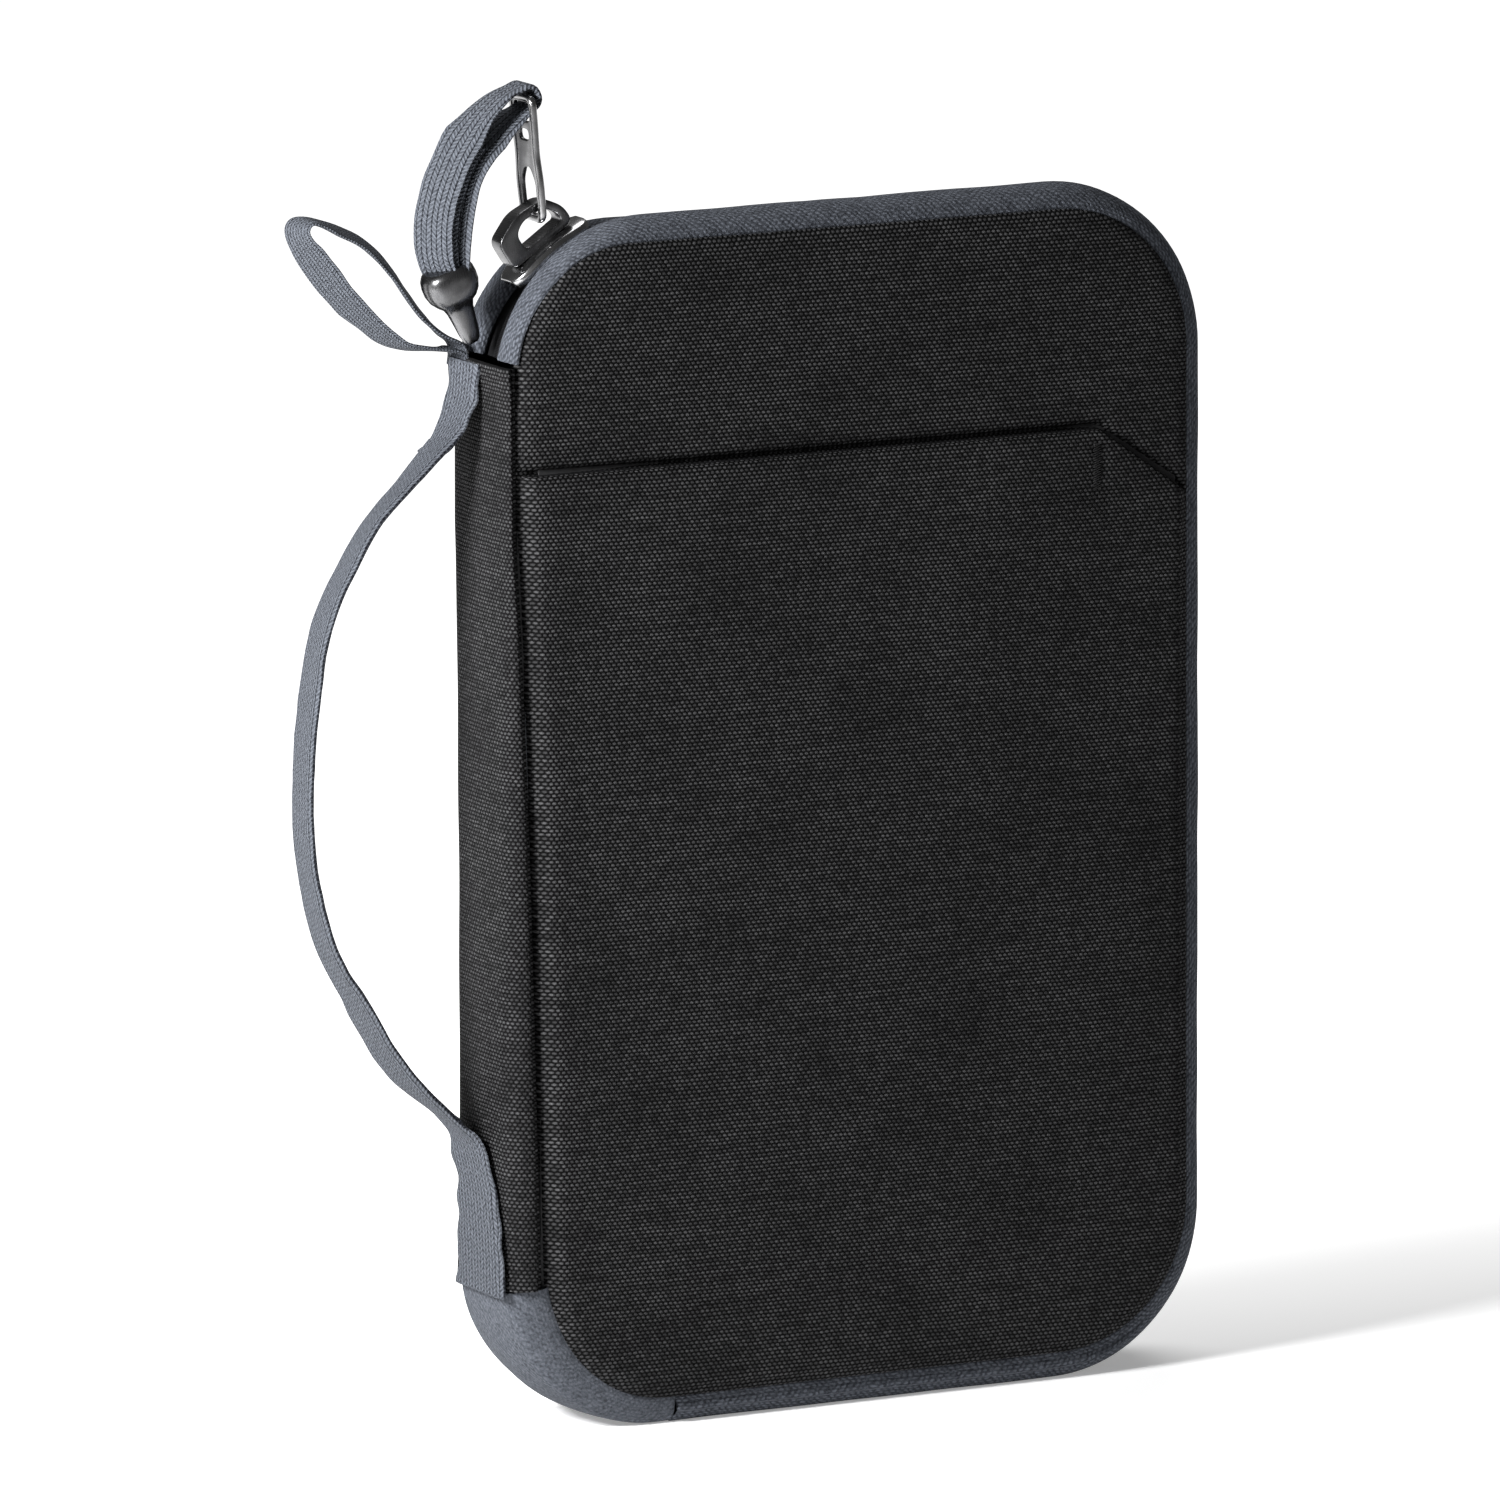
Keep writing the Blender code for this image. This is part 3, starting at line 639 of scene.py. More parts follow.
def make_slip_pocket():
    """The pocket's cloth, from its mouth down to the seams."""
    start, end, low = CHAMFER
    seam = [place for place in panel_outline() if mouth_distance(*place) > 1.0 * MM]
    first = next(i for i, p in enumerate(seam) if math.dist(p, seam[i - 1]) > 20 * MM)
    seam = seam[first:] + seam[:first]
    corner, left_top, right_top = (start, MOUTH_Z), (left_edge(MOUTH_Z), MOUTH_Z), (end, low)
    outline = [*seam, right_top, *spread(right_top, corner, 1.2 * MM), corner]
    outline += [*spread(corner, left_top, 1.6 * MM), left_top]
    insets = [value * MM for value in (0.12, 0.3, 0.6, 1.0, 1.6, 2.4, 3.4, 4.8)]

    def inside(x, z):
        return edge_distance(x, z) > 0.08 * MM and mouth_distance(x, z) > 0.08 * MM

    def pocket_face(x, z):
        return -pocket_depth(x, z)

    def pocket_back(x, z):
        return -min(10.9 * MM, pocket_depth(x, z) - 0.3 * MM)

    rings = inner_rings(outline, insets, inside)
    pocket = skin("slip_pocket_cloth", outline, rings, pocket_face, pocket_back, fold_rise)
    ride(pocket, "front_cover", "black_fabric", BLACK, "front_slip_pocket")
    # Painted shade: every side wall of the pocket's cloth takes the dark zip tape cloth, so that the mouth
    # reads as a dark slit of shadow.
    pocket.data.materials.append(TAPE)
    for polygon in pocket.data.polygons:
        polygon.material_index = 1 if len(polygon.vertices) == 4 else 0


def make_bartack():
    """Dense zigzag thread that ends the pocket's mouth."""
    box_low, box_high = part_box("pocket_bartack")
    count = 20
    half = 0.7 * MM
    line = []
    for i in range(count):
        z = box_high.z + (box_low.z - box_high.z) * i / (count - 1)
        for side in (-1, 1):
            place = Vector((TACK_X + side * half, 0, z + side * 0.08 * MM))
            place.y = -(pocket_depth(place.x, place.z) + 0.16 * MM)
            line.append(wedge(place))
    made = thread_tube("pocket_bartack_thread", line, 0.2 * MM)
    ride(made, "front_cover", "thread", THREAD, "pocket_bartack")


def thread_tube(name, line, radius, sides=6):
    """A thin round thread along a line of points."""
    rings, cloth = [], []
    for i, point in enumerate(line):
        heading = direction(line, i)
        up = Vector((0, 1, 0)) if abs(heading.y) < 0.9 else Vector((1, 0, 0))
        across = heading.cross(up).normalized()
        lift = heading.cross(across)
        turns = circle(sides)
        rings.append([point + (across * math.cos(a) + lift * math.sin(a)) * radius for a in turns])
        cloth.append([(0.0, 0.0)] * sides)
    return sweep(name, rings, cloth)


# ---------------------------------------------------------------- gusset and zip


def rim_stations(step=1.8 * MM):
    """The zip's route: the centre that each place turns about, and its outward angle."""
    half = math.pi / 2
    right_x = RIGHT - CORNER_RADIUS

    def corner(x, z, start, end):
        count = round(abs(end - start) * CORNER_RADIUS / step)
        angles = [start + (end - start) * i / count for i in range(count + 1)]
        return [(x, z, angle) for angle in angles]

    def straight(a, b, angle):
        return [(x, z, angle) for x, z in spread(a, b, 3 * MM)]

    stations = corner(ARC_X, ARC_Z, ZIP_START, half)
    stations += straight((ARC_X, ARC_Z), (right_x, ARC_Z), half)
    stations += corner(right_x, ARC_Z, half, 0)
    stations += straight((right_x, ARC_Z), (right_x, CORNER_RADIUS), 0)
    stations += corner(right_x, CORNER_RADIUS, 0, -half)
    stations += straight((right_x, CORNER_RADIUS), (ZIP_END_X, CORNER_RADIUS), -half)
    stations.append((ZIP_END_X, CORNER_RADIUS, -half))
    return stations


def rim_point(station, out, y):
    x, z, angle = station
    reach = CORNER_RADIUS + out
    return Vector((x + reach * math.cos(angle), y, z + reach * math.sin(angle)))


def rim_place(station, out, y):
    return wedge(rim_point(station, out, y))


def rim_lengths(stations):
    return along([rim_place(station, 0.0, 0.0) for station in stations])


def lip_reach(station):
    """How far a cover's seam lies in from the crest."""
    x, z, angle = station
    inset = 0.5 * MM
    while inset < 11 * MM:
        reach = CORNER_RADIUS - inset
        if edge_distance(x + reach * math.cos(angle), z + reach * math.sin(angle)) > 0:
            break
        inset += 0.1 * MM
    return inset


def upwards(angle):
    """1 along the top of the body, 0 along its sides and its bottom."""
    return max(0.0, math.sin(angle)) ** 2


def gusset_profile(side, lip, top, low):
    """(out from the crest, y) round half of the gusset: outer face, then inner face back."""
    turns = 11
    seam = 11.1 if side < 0 else 11.7
    crest = 6.7 - 1.2 * top + 2.0 * low
    rise = (0.5 * top if side < 0 else -1.5 * top) * MM
    outer = [(-lip - 0.3 * MM, (seam - 0.6) * MM)]
    for i in range(turns + 1):
        a = math.pi / 2 * i / turns
        y = crest + (seam - crest) * math.cos(a)
        outer.append((-lip + (lip + rise) * math.sin(a) ** 0.9, y * MM))
    inward = [(-0.1, 0.8), (-0.5, 1.7), (-1.2, 2.3), (-2.0, 2.5), (-2.4, 2.2)]
    inward += [(-2.0, 1.0), (-1.7, -0.3), (-1.7, -1.6), (-2.4, -3.0)]
    inner = [(rise + out * MM, (crest - y) * MM) for out, y in inward]
    inner.append((-lip - 0.6 * MM, (seam - 1.0) * MM))
    return [(out, side * y) for out, y in outer + inner]


def make_gusset(cover, side):
    stations = rim_stations()
    rings, cloth = [], []
    for station, length in zip(stations, rim_lengths(stations)):
        profile = gusset_profile(side, lip_reach(station), upwards(station[2]), upwards(-station[2]))
        ring = []
        for out, y in profile:
            wave = 0.16 * MM * noise.noise(Vector((length * 80, y * 150, side * 2.0)))
            wave += 0.16 * MM * noise.noise(Vector((length * 25, 0.7, side * 4.0)))
            ring.append(rim_place(station, out + wave, y))
        rings.append(ring)
        cloth.append([(length, travel) for travel in along(profile)])
    made = sweep(f"{cover}_gusset_cloth", rings, cloth, 70)
    ride(made, f"{cover}_cover", "grey_gusset", HEATHER, f"{cover}_gusset_band")


def corner_profile(side, lip, belly, low):
    """(out from the crest, y) round half of the corner gusset: from the middle to the lip and back."""
    crest = 7.0 + 1.7 * low
    outer = []
    for i in range(11):
        y = crest * i / 10
        outer.append((belly * math.cos(math.pi * y / (2 * crest)), y * MM))
    for i in range(1, 11):
        a = math.pi / 2 * i / 10
        outer.append((-lip + lip * math.cos(a) ** 0.95, (crest + (11.1 - crest) * math.sin(a)) * MM))
    inner = [(-lip - 0.6 * MM, 10.7 * MM)]
    for i in range(13):
        y = 9.6 * (1 - i / 12)
        inner.append((-1.5 * MM - (lip - 0.9 * MM) * max(0.0, (y - 7) / 3.7), y * MM))
    scale = 1.0 if side < 0 else 1.05
    return [(out, side * scale * y) for out, y in outer + inner]


def make_corner_gusset(cover, side):
    """Half of the grey cloth round the bottom left corner."""
    count = 30
    end = 1.5 * math.pi
    angles = [CORNER_START + (end - CORNER_START) * i / count for i in range(count + 1)]
    stations = [(ARC_X, CORNER_RADIUS, angle) for angle in angles]
    stations += [(ZIP_END_X + reach * MM, CORNER_RADIUS, end) for reach in (-0.6, 0.6, 1.6)]
    lengths = rim_lengths(stations)
    rings, cloth = [], []
    for station, length in zip(stations, lengths):
        calm = unit((lengths[-1] - length) / (8 * MM))
        belly = 0.8 * MM * unit(length / (12 * MM)) * calm
        profile = corner_profile(side, lip_reach(station), belly, upwards(-station[2]))
        ring = []
        for out, y in profile:
            wave = 0.3 * MM * calm * noise.noise(Vector((length * 70, y * 90, 4.0)))
            wave -= 0.2 * MM * (1 - calm)
            crease = 0.5 * MM * hump(y + 10.4 * MM, 1.3 * MM)
            wave -= crease * math.sin(math.pi * unit(length / (40 * MM)))
            ring.append(rim_place(station, out + wave, y))
        rings.append(ring)
        cloth.append([(length, side * travel) for travel in along(profile)])
    made = sweep(f"{cover}_corner_gusset_cloth", rings, cloth, 70)
    split_ends(made)
    start, end_at = ((ARC_X, side * y * MM, CORNER_RADIUS) for y in (2.5, 10.4))
    bridge(made, ("spine", f"{cover}_cover"), start, end_at, "grey_gusset", FLEECE, "corner_gusset")


def make_zip(cover, side):
    """Tape with a rolled inner edge outside, coil turns sewn to its inside."""
    tape = [(-2.6, 0.15), (-2.3, 0.5), (-2.45, 1.0), (-2.7, 1.5), (-2.9, 3.0), (-3.3, 6.6)]
    tape += [(-3.6, 6.6), (-3.3, 3.0), (-3.15, 1.5), (-3.1, 0.15)]
    profile = [(out * MM, side * y * MM) for out, y in tape]
    stations = rim_stations()
    rings, cloth = [], []
    for station, length in zip(stations, rim_lengths(stations)):
        drop = 0.7 * MM * upwards(station[2])
        rings.append([rim_place(station, out - drop, y) for out, y in profile])
        cloth.append([(length, y) for _, y in profile])
    made = sweep(f"{cover}_zip_tape_cloth", rings, cloth)
    ride(made, f"{cover}_cover", "zip_nylon", TAPE, f"{cover}_zip_tape")
    make_coil(cover, side)


def make_coil(cover, side):
    """Separate turns of the nylon coil, one every 1.3 mm, on the tape's inner side."""
    pitch = 1.3 * MM
    stations = rim_stations(pitch / 2)
    lengths = rim_lengths(stations)
    points, faces = [], []
    index, turn = 0, 0
    while turn * pitch < lengths[-1]:
        here = (turn + (0.25 if side > 0 else 0.75)) * pitch
        while index + 1 < len(lengths) and lengths[index + 1] < here:
            index += 1
        angle = stations[index][2]
        drop = 0.7 * MM * upwards(angle)
        center = rim_place(stations[index], -drop, 0.0)
        if index + 1 < len(stations):
            span = max(1e-9, lengths[index + 1] - lengths[index])
            share = min(1.0, (here - lengths[index]) / span)
            center = center.lerp(rim_place(stations[index + 1], -drop, 0.0), share)
        add_turn(points, faces, center, Vector((math.cos(angle), 0, math.sin(angle))), side)
        turn += 1
    made = make_object(f"{cover}_zip_coil_turns", points, faces, [(0.0, 0.0)] * len(points), 40)
    ride(face_out(made), f"{cover}_cover", "zip_nylon", NYLON, f"{cover}_zip_coil")


def add_turn(points, faces, center, outward, side):
    """One turn: a rounded bar across the tape with a thicker head at the middle of the zip."""
    heading = Vector((outward.z, 0, -outward.x))
    sections = [(-0.15, 0.42, 0.5), (0.35, 0.5, 0.62), (0.9, 0.34, 0.5)]
    sections += [(2.0, 0.32, 0.46), (2.3, 0.2, 0.3)]
    base, sides = len(points), 6
    for y, half_along, half_out in sections:
        for a in circle(sides):
            place = center + outward * (-3.8 * MM + half_out * MM * math.sin(a))
            place += heading * half_along * MM * math.cos(a) + Vector((0, side * y * MM, 0))
            points.append(wedge(place))
    for r in range(len(sections) - 1):
        faces += ring_faces(base + r * sides, base + (r + 1) * sides, sides)
    last = base + (len(sections) - 1) * sides
    faces += [tuple(range(base, base + sides)), tuple(range(last, last + sides))]


# ---------------------------------------------------------------- spine


def spine_half(z):
    """(x, y) from the spine's middle to one fold: it wraps the corner and turns in beside the cover."""
    wrap = max(0.8 * MM, left_edge(z) - LEFT - 1.9 * MM)
    depth, round_y = 11.6 * MM, 4.2 * MM
    places = [(LEFT - 0.25 * MM * (1 - t * t), (depth - round_y) * t) for t in (0, 0.25, 0.5, 0.75)]
    for i in range(9):
        a = math.pi / 2 * i / 8
        places.append((LEFT + wrap * (1 - math.cos(a)), depth - round_y + round_y * math.sin(a)))
    edge = LEFT + wrap
    places += [(edge + 0.3 * MM, depth - 0.15 * MM), (edge + 0.5 * MM, depth - 0.5 * MM)]
    return places + [(edge + 0.55 * MM, depth - 1.2 * MM), (edge + 0.3 * MM, depth - 2.2 * MM)]


def make_spine():
    rows = 84
    bottom, top = SPINE_LOW - 0.2 * MM, SPINE_TOP + 0.2 * MM
    rings, cloth = [], []
    for r in range(rows + 1):
        z = bottom + (top - bottom) * r / rows
        hem = 0.3 * MM * (hump(top - z, 3.6 * MM, 6) + hump(z - bottom, 2.5 * MM, 6))
        half = spine_half(z)
        outer = [(x, -y) for x, y in reversed(half)] + half[1:]
        inner = outer[-2:0:-1]
        ring = []
        for x, y in outer:
            wave = 0.2 * MM * noise.noise(Vector((y * 70, z * 45, 9.0)))
            ring.append(wedge(Vector((x - hem + wave, y, z))))
        rings.append(ring + [wedge(Vector((x + 0.9 * MM, y * 0.93, z))) for x, y in inner])
        cloth.append([(travel, z) for travel in along(outer)] + [(y, z) for _, y in inner])
    made = sweep("spine_cloth", rings, cloth, 60)
    ride(made, "spine", "black_fabric", SPINE_SHEEN, "spine_panel")


def make_fold(name, cover, side):
    """Cloth strip behind the groove, sewn to the spine and to a cover's lining."""
    rows, columns = 60, 14
    bottom, top = SPINE_LOW - 0.2 * MM, SPINE_TOP + 0.2 * MM
    low, high = 0.9 * MM, 8.0 * MM
    across = [low + (high - low) * i / columns for i in range(columns + 1)]
    rings, cloth = [], []
    for r in range(rows + 1):
        z = bottom + (top - bottom) * r / rows
        outer = [(x, 8.8 * MM) for x in across]
        inner = [(x, 8.2 * MM) for x in reversed(across)]
        rings.append([wedge(Vector((LEFT + x, side * y, z))) for x, y in outer + inner])
        cloth.append([(x, z) for x, _ in outer + inner])
    start, end = ((LEFT + x * MM, side * 8.5 * MM, HEIGHT / 2) for x in (2.2, 7.2))
    bridge(sweep(name, rings, cloth, 80), ("spine", cover), start, end, "black_fabric", BLACK)


# ---------------------------------------------------------------- webbing


def strap(name, path, widths, thickness, tilt, ruffle, columns=10, begin=0.0):
    """Woven strap: path is its middle, tilt turns its width from +Y about its own direction."""
    lengths = [begin + length for length in along(path)]
    rings, cloth = [], []
    for i, point in enumerate(path):
        heading = direction(path, i)
        side = Vector((0, 1, 0))
        side = (side - heading * side.dot(heading)).normalized()
        side = Matrix.Rotation(tilt[i], 3, heading) @ side
        across = heading.cross(side).normalized()
        half = widths[i] / 2
        top, bottom, weave = [], [], []
        for c in range(columns + 1):
            t = -1 + 2 * c / columns
            edge = math.sqrt(max(0.0, 1 - abs(t) ** 8))
            wave = ruffle * abs(t) ** 3 * noise.noise(Vector((lengths[i] * 260, t * 1.5, 2.0)))
            place = point + side * (half * t) + across * wave
            lift = across * (thickness / 2 * (0.25 + 0.75 * edge))
            top.append(place + lift)
            bottom.append(place - lift)
            weave.append((lengths[i], half * t))
        rings.append(top + bottom[::-1])
        cloth.append(weave + weave[::-1])
    return sweep(name, rings, cloth, 50)


def out_from_spine(points):
    return [Vector((LEFT - out * MM, y * MM, z * MM)) for out, z, y in points]


def eased(values, steps):
    """Values at given stations, smoothed like the path they go with."""
    line = smooth_path([Vector((value, 0, 0)) for value in values], steps)
    return [place.x for place in line]


def strap_stations(points, widths, turns):
    """A strap's path from the spine, its widths and its tilts, smoothed between listed stations."""
    path = smooth_path(out_from_spine(points), STRAP_STEPS)
    widths = eased([width * MM for width in widths], STRAP_STEPS)
    return path, widths, eased([math.radians(turn) for turn in turns], STRAP_STEPS)


def make_handle():
    """The bow, made in two halves."""
    bow = [(4.3, 55.8, 4.0), (12.9, 63.6, 4.0), (18.5, 71.3, 4.0), (22.7, 78.9, 4.0), (27.2, 86.4, 4.0)]
    bow += [(29.9, 93.8, 4.1), (32.3, 106, 4.1), (32.6, 118, 4.2), (31.7, 130.5, 4.2), (29.5, 143.6, 4.3)]
    bow += [(27.0, 150.5, 4.3), (23.2, 157.3, 4.3), (18.6, 164.1, 4.3), (11.9, 170.6, 4.4)]
    bow.append((5.2, 177.2, 4.4))
    turns = (-4, 2, 0, -2, -6, -9, -11, -12, -12, -13, -14, -15, -16, -14, -10)
    path, widths, tilt = strap_stations(bow, [13.8] * len(bow), turns)
    half = len(path) // 2
    cuts = slice(0, half + 1), slice(half, None)
    for part, cut, sewn, free in (("lower", cuts[0], 55, 80), ("upper", cuts[1], 178, 153)):
        begin = along(path)[cut.start]
        name = f"carry_handle_{part}_half"
        made = strap(name, path[cut], widths[cut], 1.3 * MM, tilt[cut], 0.25 * MM, begin=begin)
        start, end = (Vector((LEFT - 5 * MM, 4.2 * MM, z * MM)) for z in (sewn, free))
        bridge(made, ("spine", "carry_handle"), start, end, "grey_webbing", WEBBING, "carry_handle")


def make_anchors():
    """The handle's ends, sewn down flat on the spine."""
    low = [(0.7, 25.4, -1.2), (0.75, 31, -1.1), (0.8, 37.5, -0.5), (0.9, 45, 0.8), (1.7, 51.6, 2.7)]
    low += [(4.2, 55.7, 4.0), (6.6, 57.9, 4.0)]
    sizes, turns = (18.6, 18.1, 17.1, 15.6, 14.3, 13.8, 13.7), (0, 0, 0, -1, -2, -4, -3)
    path, widths, tilt = strap_stations(low, sizes, turns)
    anchor = strap("handle_lower_webbing", path, widths, 1.2 * MM, tilt, 0.7 * MM)
    ride(anchor, "spine", "grey_webbing", WEBBING, "handle_lower_anchor")
    high = [(7.2, 175.3, 4.4), (5.1, 177.3, 4.4), (2.9, 180.6, 4.4), (1.4, 184.6, 4.4)]
    high += [(1.0, 188.0, 4.4), (0.7, 191.4, 4.4)]
    sizes, turns = (13.7, 13.8, 13.4, 12.8, 12.0, 11.6), (-12, -10, -6, -2, 0, 0)
    path, widths, tilt = strap_stations(high, sizes, turns)
    anchor = strap("handle_upper_webbing", path, widths, 1.3 * MM, tilt, 0.9 * MM)
    ride(anchor, "spine", "grey_webbing", WEBBING, "handle_upper_anchor")


def make_loop():
    """The folded ribbon: both its ends run down inside the spine's top hem."""
    route = [(0.1, 189.6), (0.1, 191.6), (1.0, 192.7), (3.6, 193.0), (11.5, 194.3), (17.3, 198.3)]
    route += [(23.1, 204.0), (27.9, 210.2), (30.8, 214.3), (31.2, 216.6), (29.4, 217.6), (24.9, 216.0)]
    route += [(19.1, 213.1), (14.3, 208.7), (9.5, 202.1), (6.0, 198.0), (3.2, 195.6), (1.0, 194.2)]
    route += [(0.15, 192.4), (0.1, 190.4)]
    turns = (0, 0, 0, 6, 12, 18, 22, 22, 12, 4, 0, 10, 16, 20, 20, 14, 6, 0, 0, 0)
    points = [(out, z, LOOP_Y) for out, z in route]
    path, widths, tilt = strap_stations(points, [8.2] * len(points), turns)
    made = strap("attachment_loop_ribbon", path, widths, 0.8 * MM, tilt, 0.3 * MM, columns=8)
    start, end = out_from_spine([(0.4, 193.0, LOOP_Y), (8.0, 195.5, LOOP_Y)])
    bridge(made, ("spine", "attachment_loop"), start, end, "grey_webbing", RIBBON, "attachment_loop")


# ---------------------------------------------------------------- slider and pull


def slider_place(along_zip, out, y=0.0):
    turn = math.cos(SLIDER_ANGLE), math.sin(SLIDER_ANGLE)
    reach = CORNER_RADIUS + out
    x = ARC_X + reach * turn[0] + along_zip * turn[1]
    return Vector((x, y, ARC_Z + reach * turn[1] - along_zip * turn[0]))


def apply_modifiers(made):
    graph = bpy.context.evaluated_depsgraph_get()
    mesh = bpy.data.meshes.new_from_object(made.evaluated_get(graph))
    made.modifiers.clear()
    made.data = mesh


def bevel(made, width, segments=3, angle=30):
    """Rounds the edges and applies the change."""
    step = made.modifiers.new("soft_edges", "BEVEL")
    step.width = width
    step.segments = segments
    step.limit_method = "ANGLE"
    step.angle_limit = math.radians(angle)
    step.harden_normals = False
    apply_modifiers(made)
    made.data.shade_smooth()
    made.data.set_sharp_from_angle(angle=math.radians(50))
    return made


def frame_piece(name, outer, inner, place, half_width):
    """A flat piece with one window, between y -half_width and +half_width."""
    count = len(outer)
    points = []
    for line in (outer, inner):
        for y in (-half_width, half_width):
            points += [place(a, b, y) for a, b in line]
    near_out, far_out, near_in, far_in = (range(k * count, (k + 1) * count) for k in range(4))
    faces = []
    for i in range(count):
        j = (i + 1) % count
        faces.append((near_out[i], near_out[j], far_out[j], far_out[i]))
        faces.append((near_in[i], far_in[i], far_in[j], near_in[j]))
        faces.append((near_out[i], near_in[i], near_in[j], near_out[j]))
        faces.append((far_out[i], far_out[j], far_in[j], far_in[i]))
    return face_out(make_object(name, points, faces, None, 40))


def rounded_line(corners, radius, steps=5):
    """A closed outline with each corner rounded to the radius."""
    line = []
    count = len(corners)
    for i, corner in enumerate(corners):
        here = Vector(corner)
        to_before = Vector(corners[i - 1]) - here
        to_after = Vector(corners[(i + 1) % count]) - here
        reach = min(radius, to_before.length * 0.48, to_after.length * 0.48)
        a, b = here + to_before.normalized() * reach, here + to_after.normalized() * reach
        for k in range(steps + 1):
            t = k / steps
            line.append(tuple(a * (1 - t) ** 2 + here * 2 * t * (1 - t) + b * t**2))
    return line


def curved_plate(name, reach, count, section):
    """A plate bent along the zip: section(travel) gives (y, out) round it, all in millimetres."""
    rings = []
    for i in range(count + 1):
        travel = -reach + 2 * reach * i / count
        angle = SLIDER_ANGLE - travel * MM / CORNER_RADIUS
        rings.append([rim_point((ARC_X, ARC_Z, angle), out * MM, y * MM) for y, out in section(travel)])
    return sweep(name, rings, [[(0.0, 0.0)] * len(ring) for ring in rings])


def base_section(travel):
    """The base plate is round at its ends, with turned-down sides."""
    half = 4.5 * math.sqrt(max(0.0, 1 - (abs(travel) / 9.3) ** 5))
    section = [(-half, -0.4), (-half - 0.1, 0.7), (-half * 0.92, 1.4), (-half * 0.55, 1.7)]
    section += [(half * 0.55, 1.7), (half * 0.92, 1.4), (half + 0.1, 0.7), (half, -0.4)]
    return section + [(half - 0.9, -0.4), (half - 1.0, 0.5), (-half + 1.0, 0.5), (-half + 0.9, -0.4)]


def under_section(travel):
    half = 4.0 * math.sqrt(max(0.0, 1 - (abs(travel) / 8.6) ** 5))
    return [(-half, -5.4), (half, -5.4), (half, -4.6), (-half, -4.6)]


def make_slider():
    """Curved base plate, the crown over it, and the lower plate inside the gusset."""
    plate = bevel(curved_plate("slider_base_plate", 8.6, 14, base_section), 0.22 * MM, 2)
    ride(plate, "zip_slider", "gunmetal", BRIGHT, "slider_body")
    outer = [(-7.2, 1.5), (6.9, 1.5), (6.9, 4.8), (4.6, 8.4), (-1.6, 9.2), (-7.0, 7.2)]
    inner = [(-3.2, 2.9), (5.2, 2.9), (5.2, 4.6), (3.6, 7.0), (-1.0, 7.5), (-3.2, 6.2)]
    lines = [rounded_line(corners, radius) for corners, radius in ((outer, 1.5), (inner, 1.2))]

    def place(a, b, y):
        return slider_place(a * MM, b * MM, y)

    crown = bevel(frame_piece("slider_crown_cap", *lines, place, 2.0 * MM), 0.35 * MM, 3)
    ride(crown, "zip_slider", "gunmetal", GUNMETAL, "slider_crown")
    under = bevel(curved_plate("slider_under_plate", 7.6, 8, under_section), 0.15 * MM, 2)
    ride(under, "zip_slider", "gunmetal", GUNMETAL)


def tab_place(height, y, across):
    pivot = slider_place(1.8 * MM, 6.0 * MM)
    x = pivot.x + height * math.sin(TAB_LEAN) + across * math.cos(TAB_LEAN)
    return Vector((x, y, pivot.z + height * math.cos(TAB_LEAN) - across * math.sin(TAB_LEAN)))


def in_metres(line):
    return [(a * MM, b * MM) for a, b in line]


def tab_slab(name, line, half, shade_angle):
    """A slab in the tab's plane, from an outline of (y, height) and half its thickness."""
    points = [tab_place(h, y, across) for across in (-half, half) for y, h in line]
    count = len(line)
    faces = [tuple(range(count)), tuple(range(2 * count - 1, count - 1, -1)), *ring_faces(0, count, count)]
    return face_out(make_object(name, points, faces, None, shade_angle))


def make_tab():
    """A stamped tab: a thin plate with windows between two round rails and two bars."""
    outline = [(-3.6, 0.2), (3.6, 0.2), (3.6, 22.0), (-3.6, 22.0)]
    tab = tab_slab("pull_tab_plate", in_metres(outline), 0.4 * MM, 40)
    windows = [[(-2.5, 0.9), (2.5, 0.9), (2.6, 6.6), (1.0, 9.2), (-1.0, 9.2), (-2.6, 6.6)]]
    windows.append([(-2.7, 17.4), (2.7, 17.4), (2.8, 20.8), (-2.8, 20.8)])
    windows.append([(-1.8, 14.0), (1.8, 14.0), (1.8, 16.0), (-1.8, 16.0)])
    for corners in windows:
        cutter = tab_slab("tab_window", rounded_line(in_metres(corners), 1.0 * MM, 4), 3 * MM, 0)
        cut = tab.modifiers.new("window", "BOOLEAN")
        cut.operation, cut.solver, cut.object = "DIFFERENCE", "EXACT", cutter
        apply_modifiers(tab)
        bpy.data.objects.remove(cutter)
    bevel(tab, 0.2 * MM, 2, 50)
    ride(tab, "pull_tab", "gunmetal", GUNMETAL, "pull_tab")
    # The rails belong to the same stamped tab as the plate but take the brighter steel: painted highlight
    # along their rounded edges.
    corners = [(-3.6, 0.0), (3.6, 0.0), (3.9, 6.5), (3.3, 11.5), (3.7, 17.0), (3.9, 21.7)]
    corners += [(-3.9, 21.7), (-3.7, 17.0), (-3.3, 11.5), (-3.9, 6.5)]
    path = [tab_place(h, y, 0.0) for y, h in rounded_line(in_metres(corners), 1.4 * MM, 5)]
    ride(round_rod("pull_tab_rails", path, 0.72 * MM), "pull_tab", "gunmetal", BRIGHT)


def round_rod(name, path, radius, sides=12):
    """A closed ring of round bar along a flat loop of points."""
    normal = (path[0] - path[len(path) // 3]).cross(path[0] - path[2 * len(path) // 3]).normalized()
    count = len(path)
    points, faces = [], []
    for i, point in enumerate(path):
        heading = (path[(i + 1) % count] - path[i - 1]).normalized()
        side = heading.cross(normal).normalized()
        for angle in circle(sides):
            points.append(point + (side * math.cos(angle) + normal * math.sin(angle)) * radius)
    for i in range(count):
        faces += ring_faces(i * sides, (i + 1) % count * sides, sides)
    return face_out(make_object(name, points, faces, None, 60))


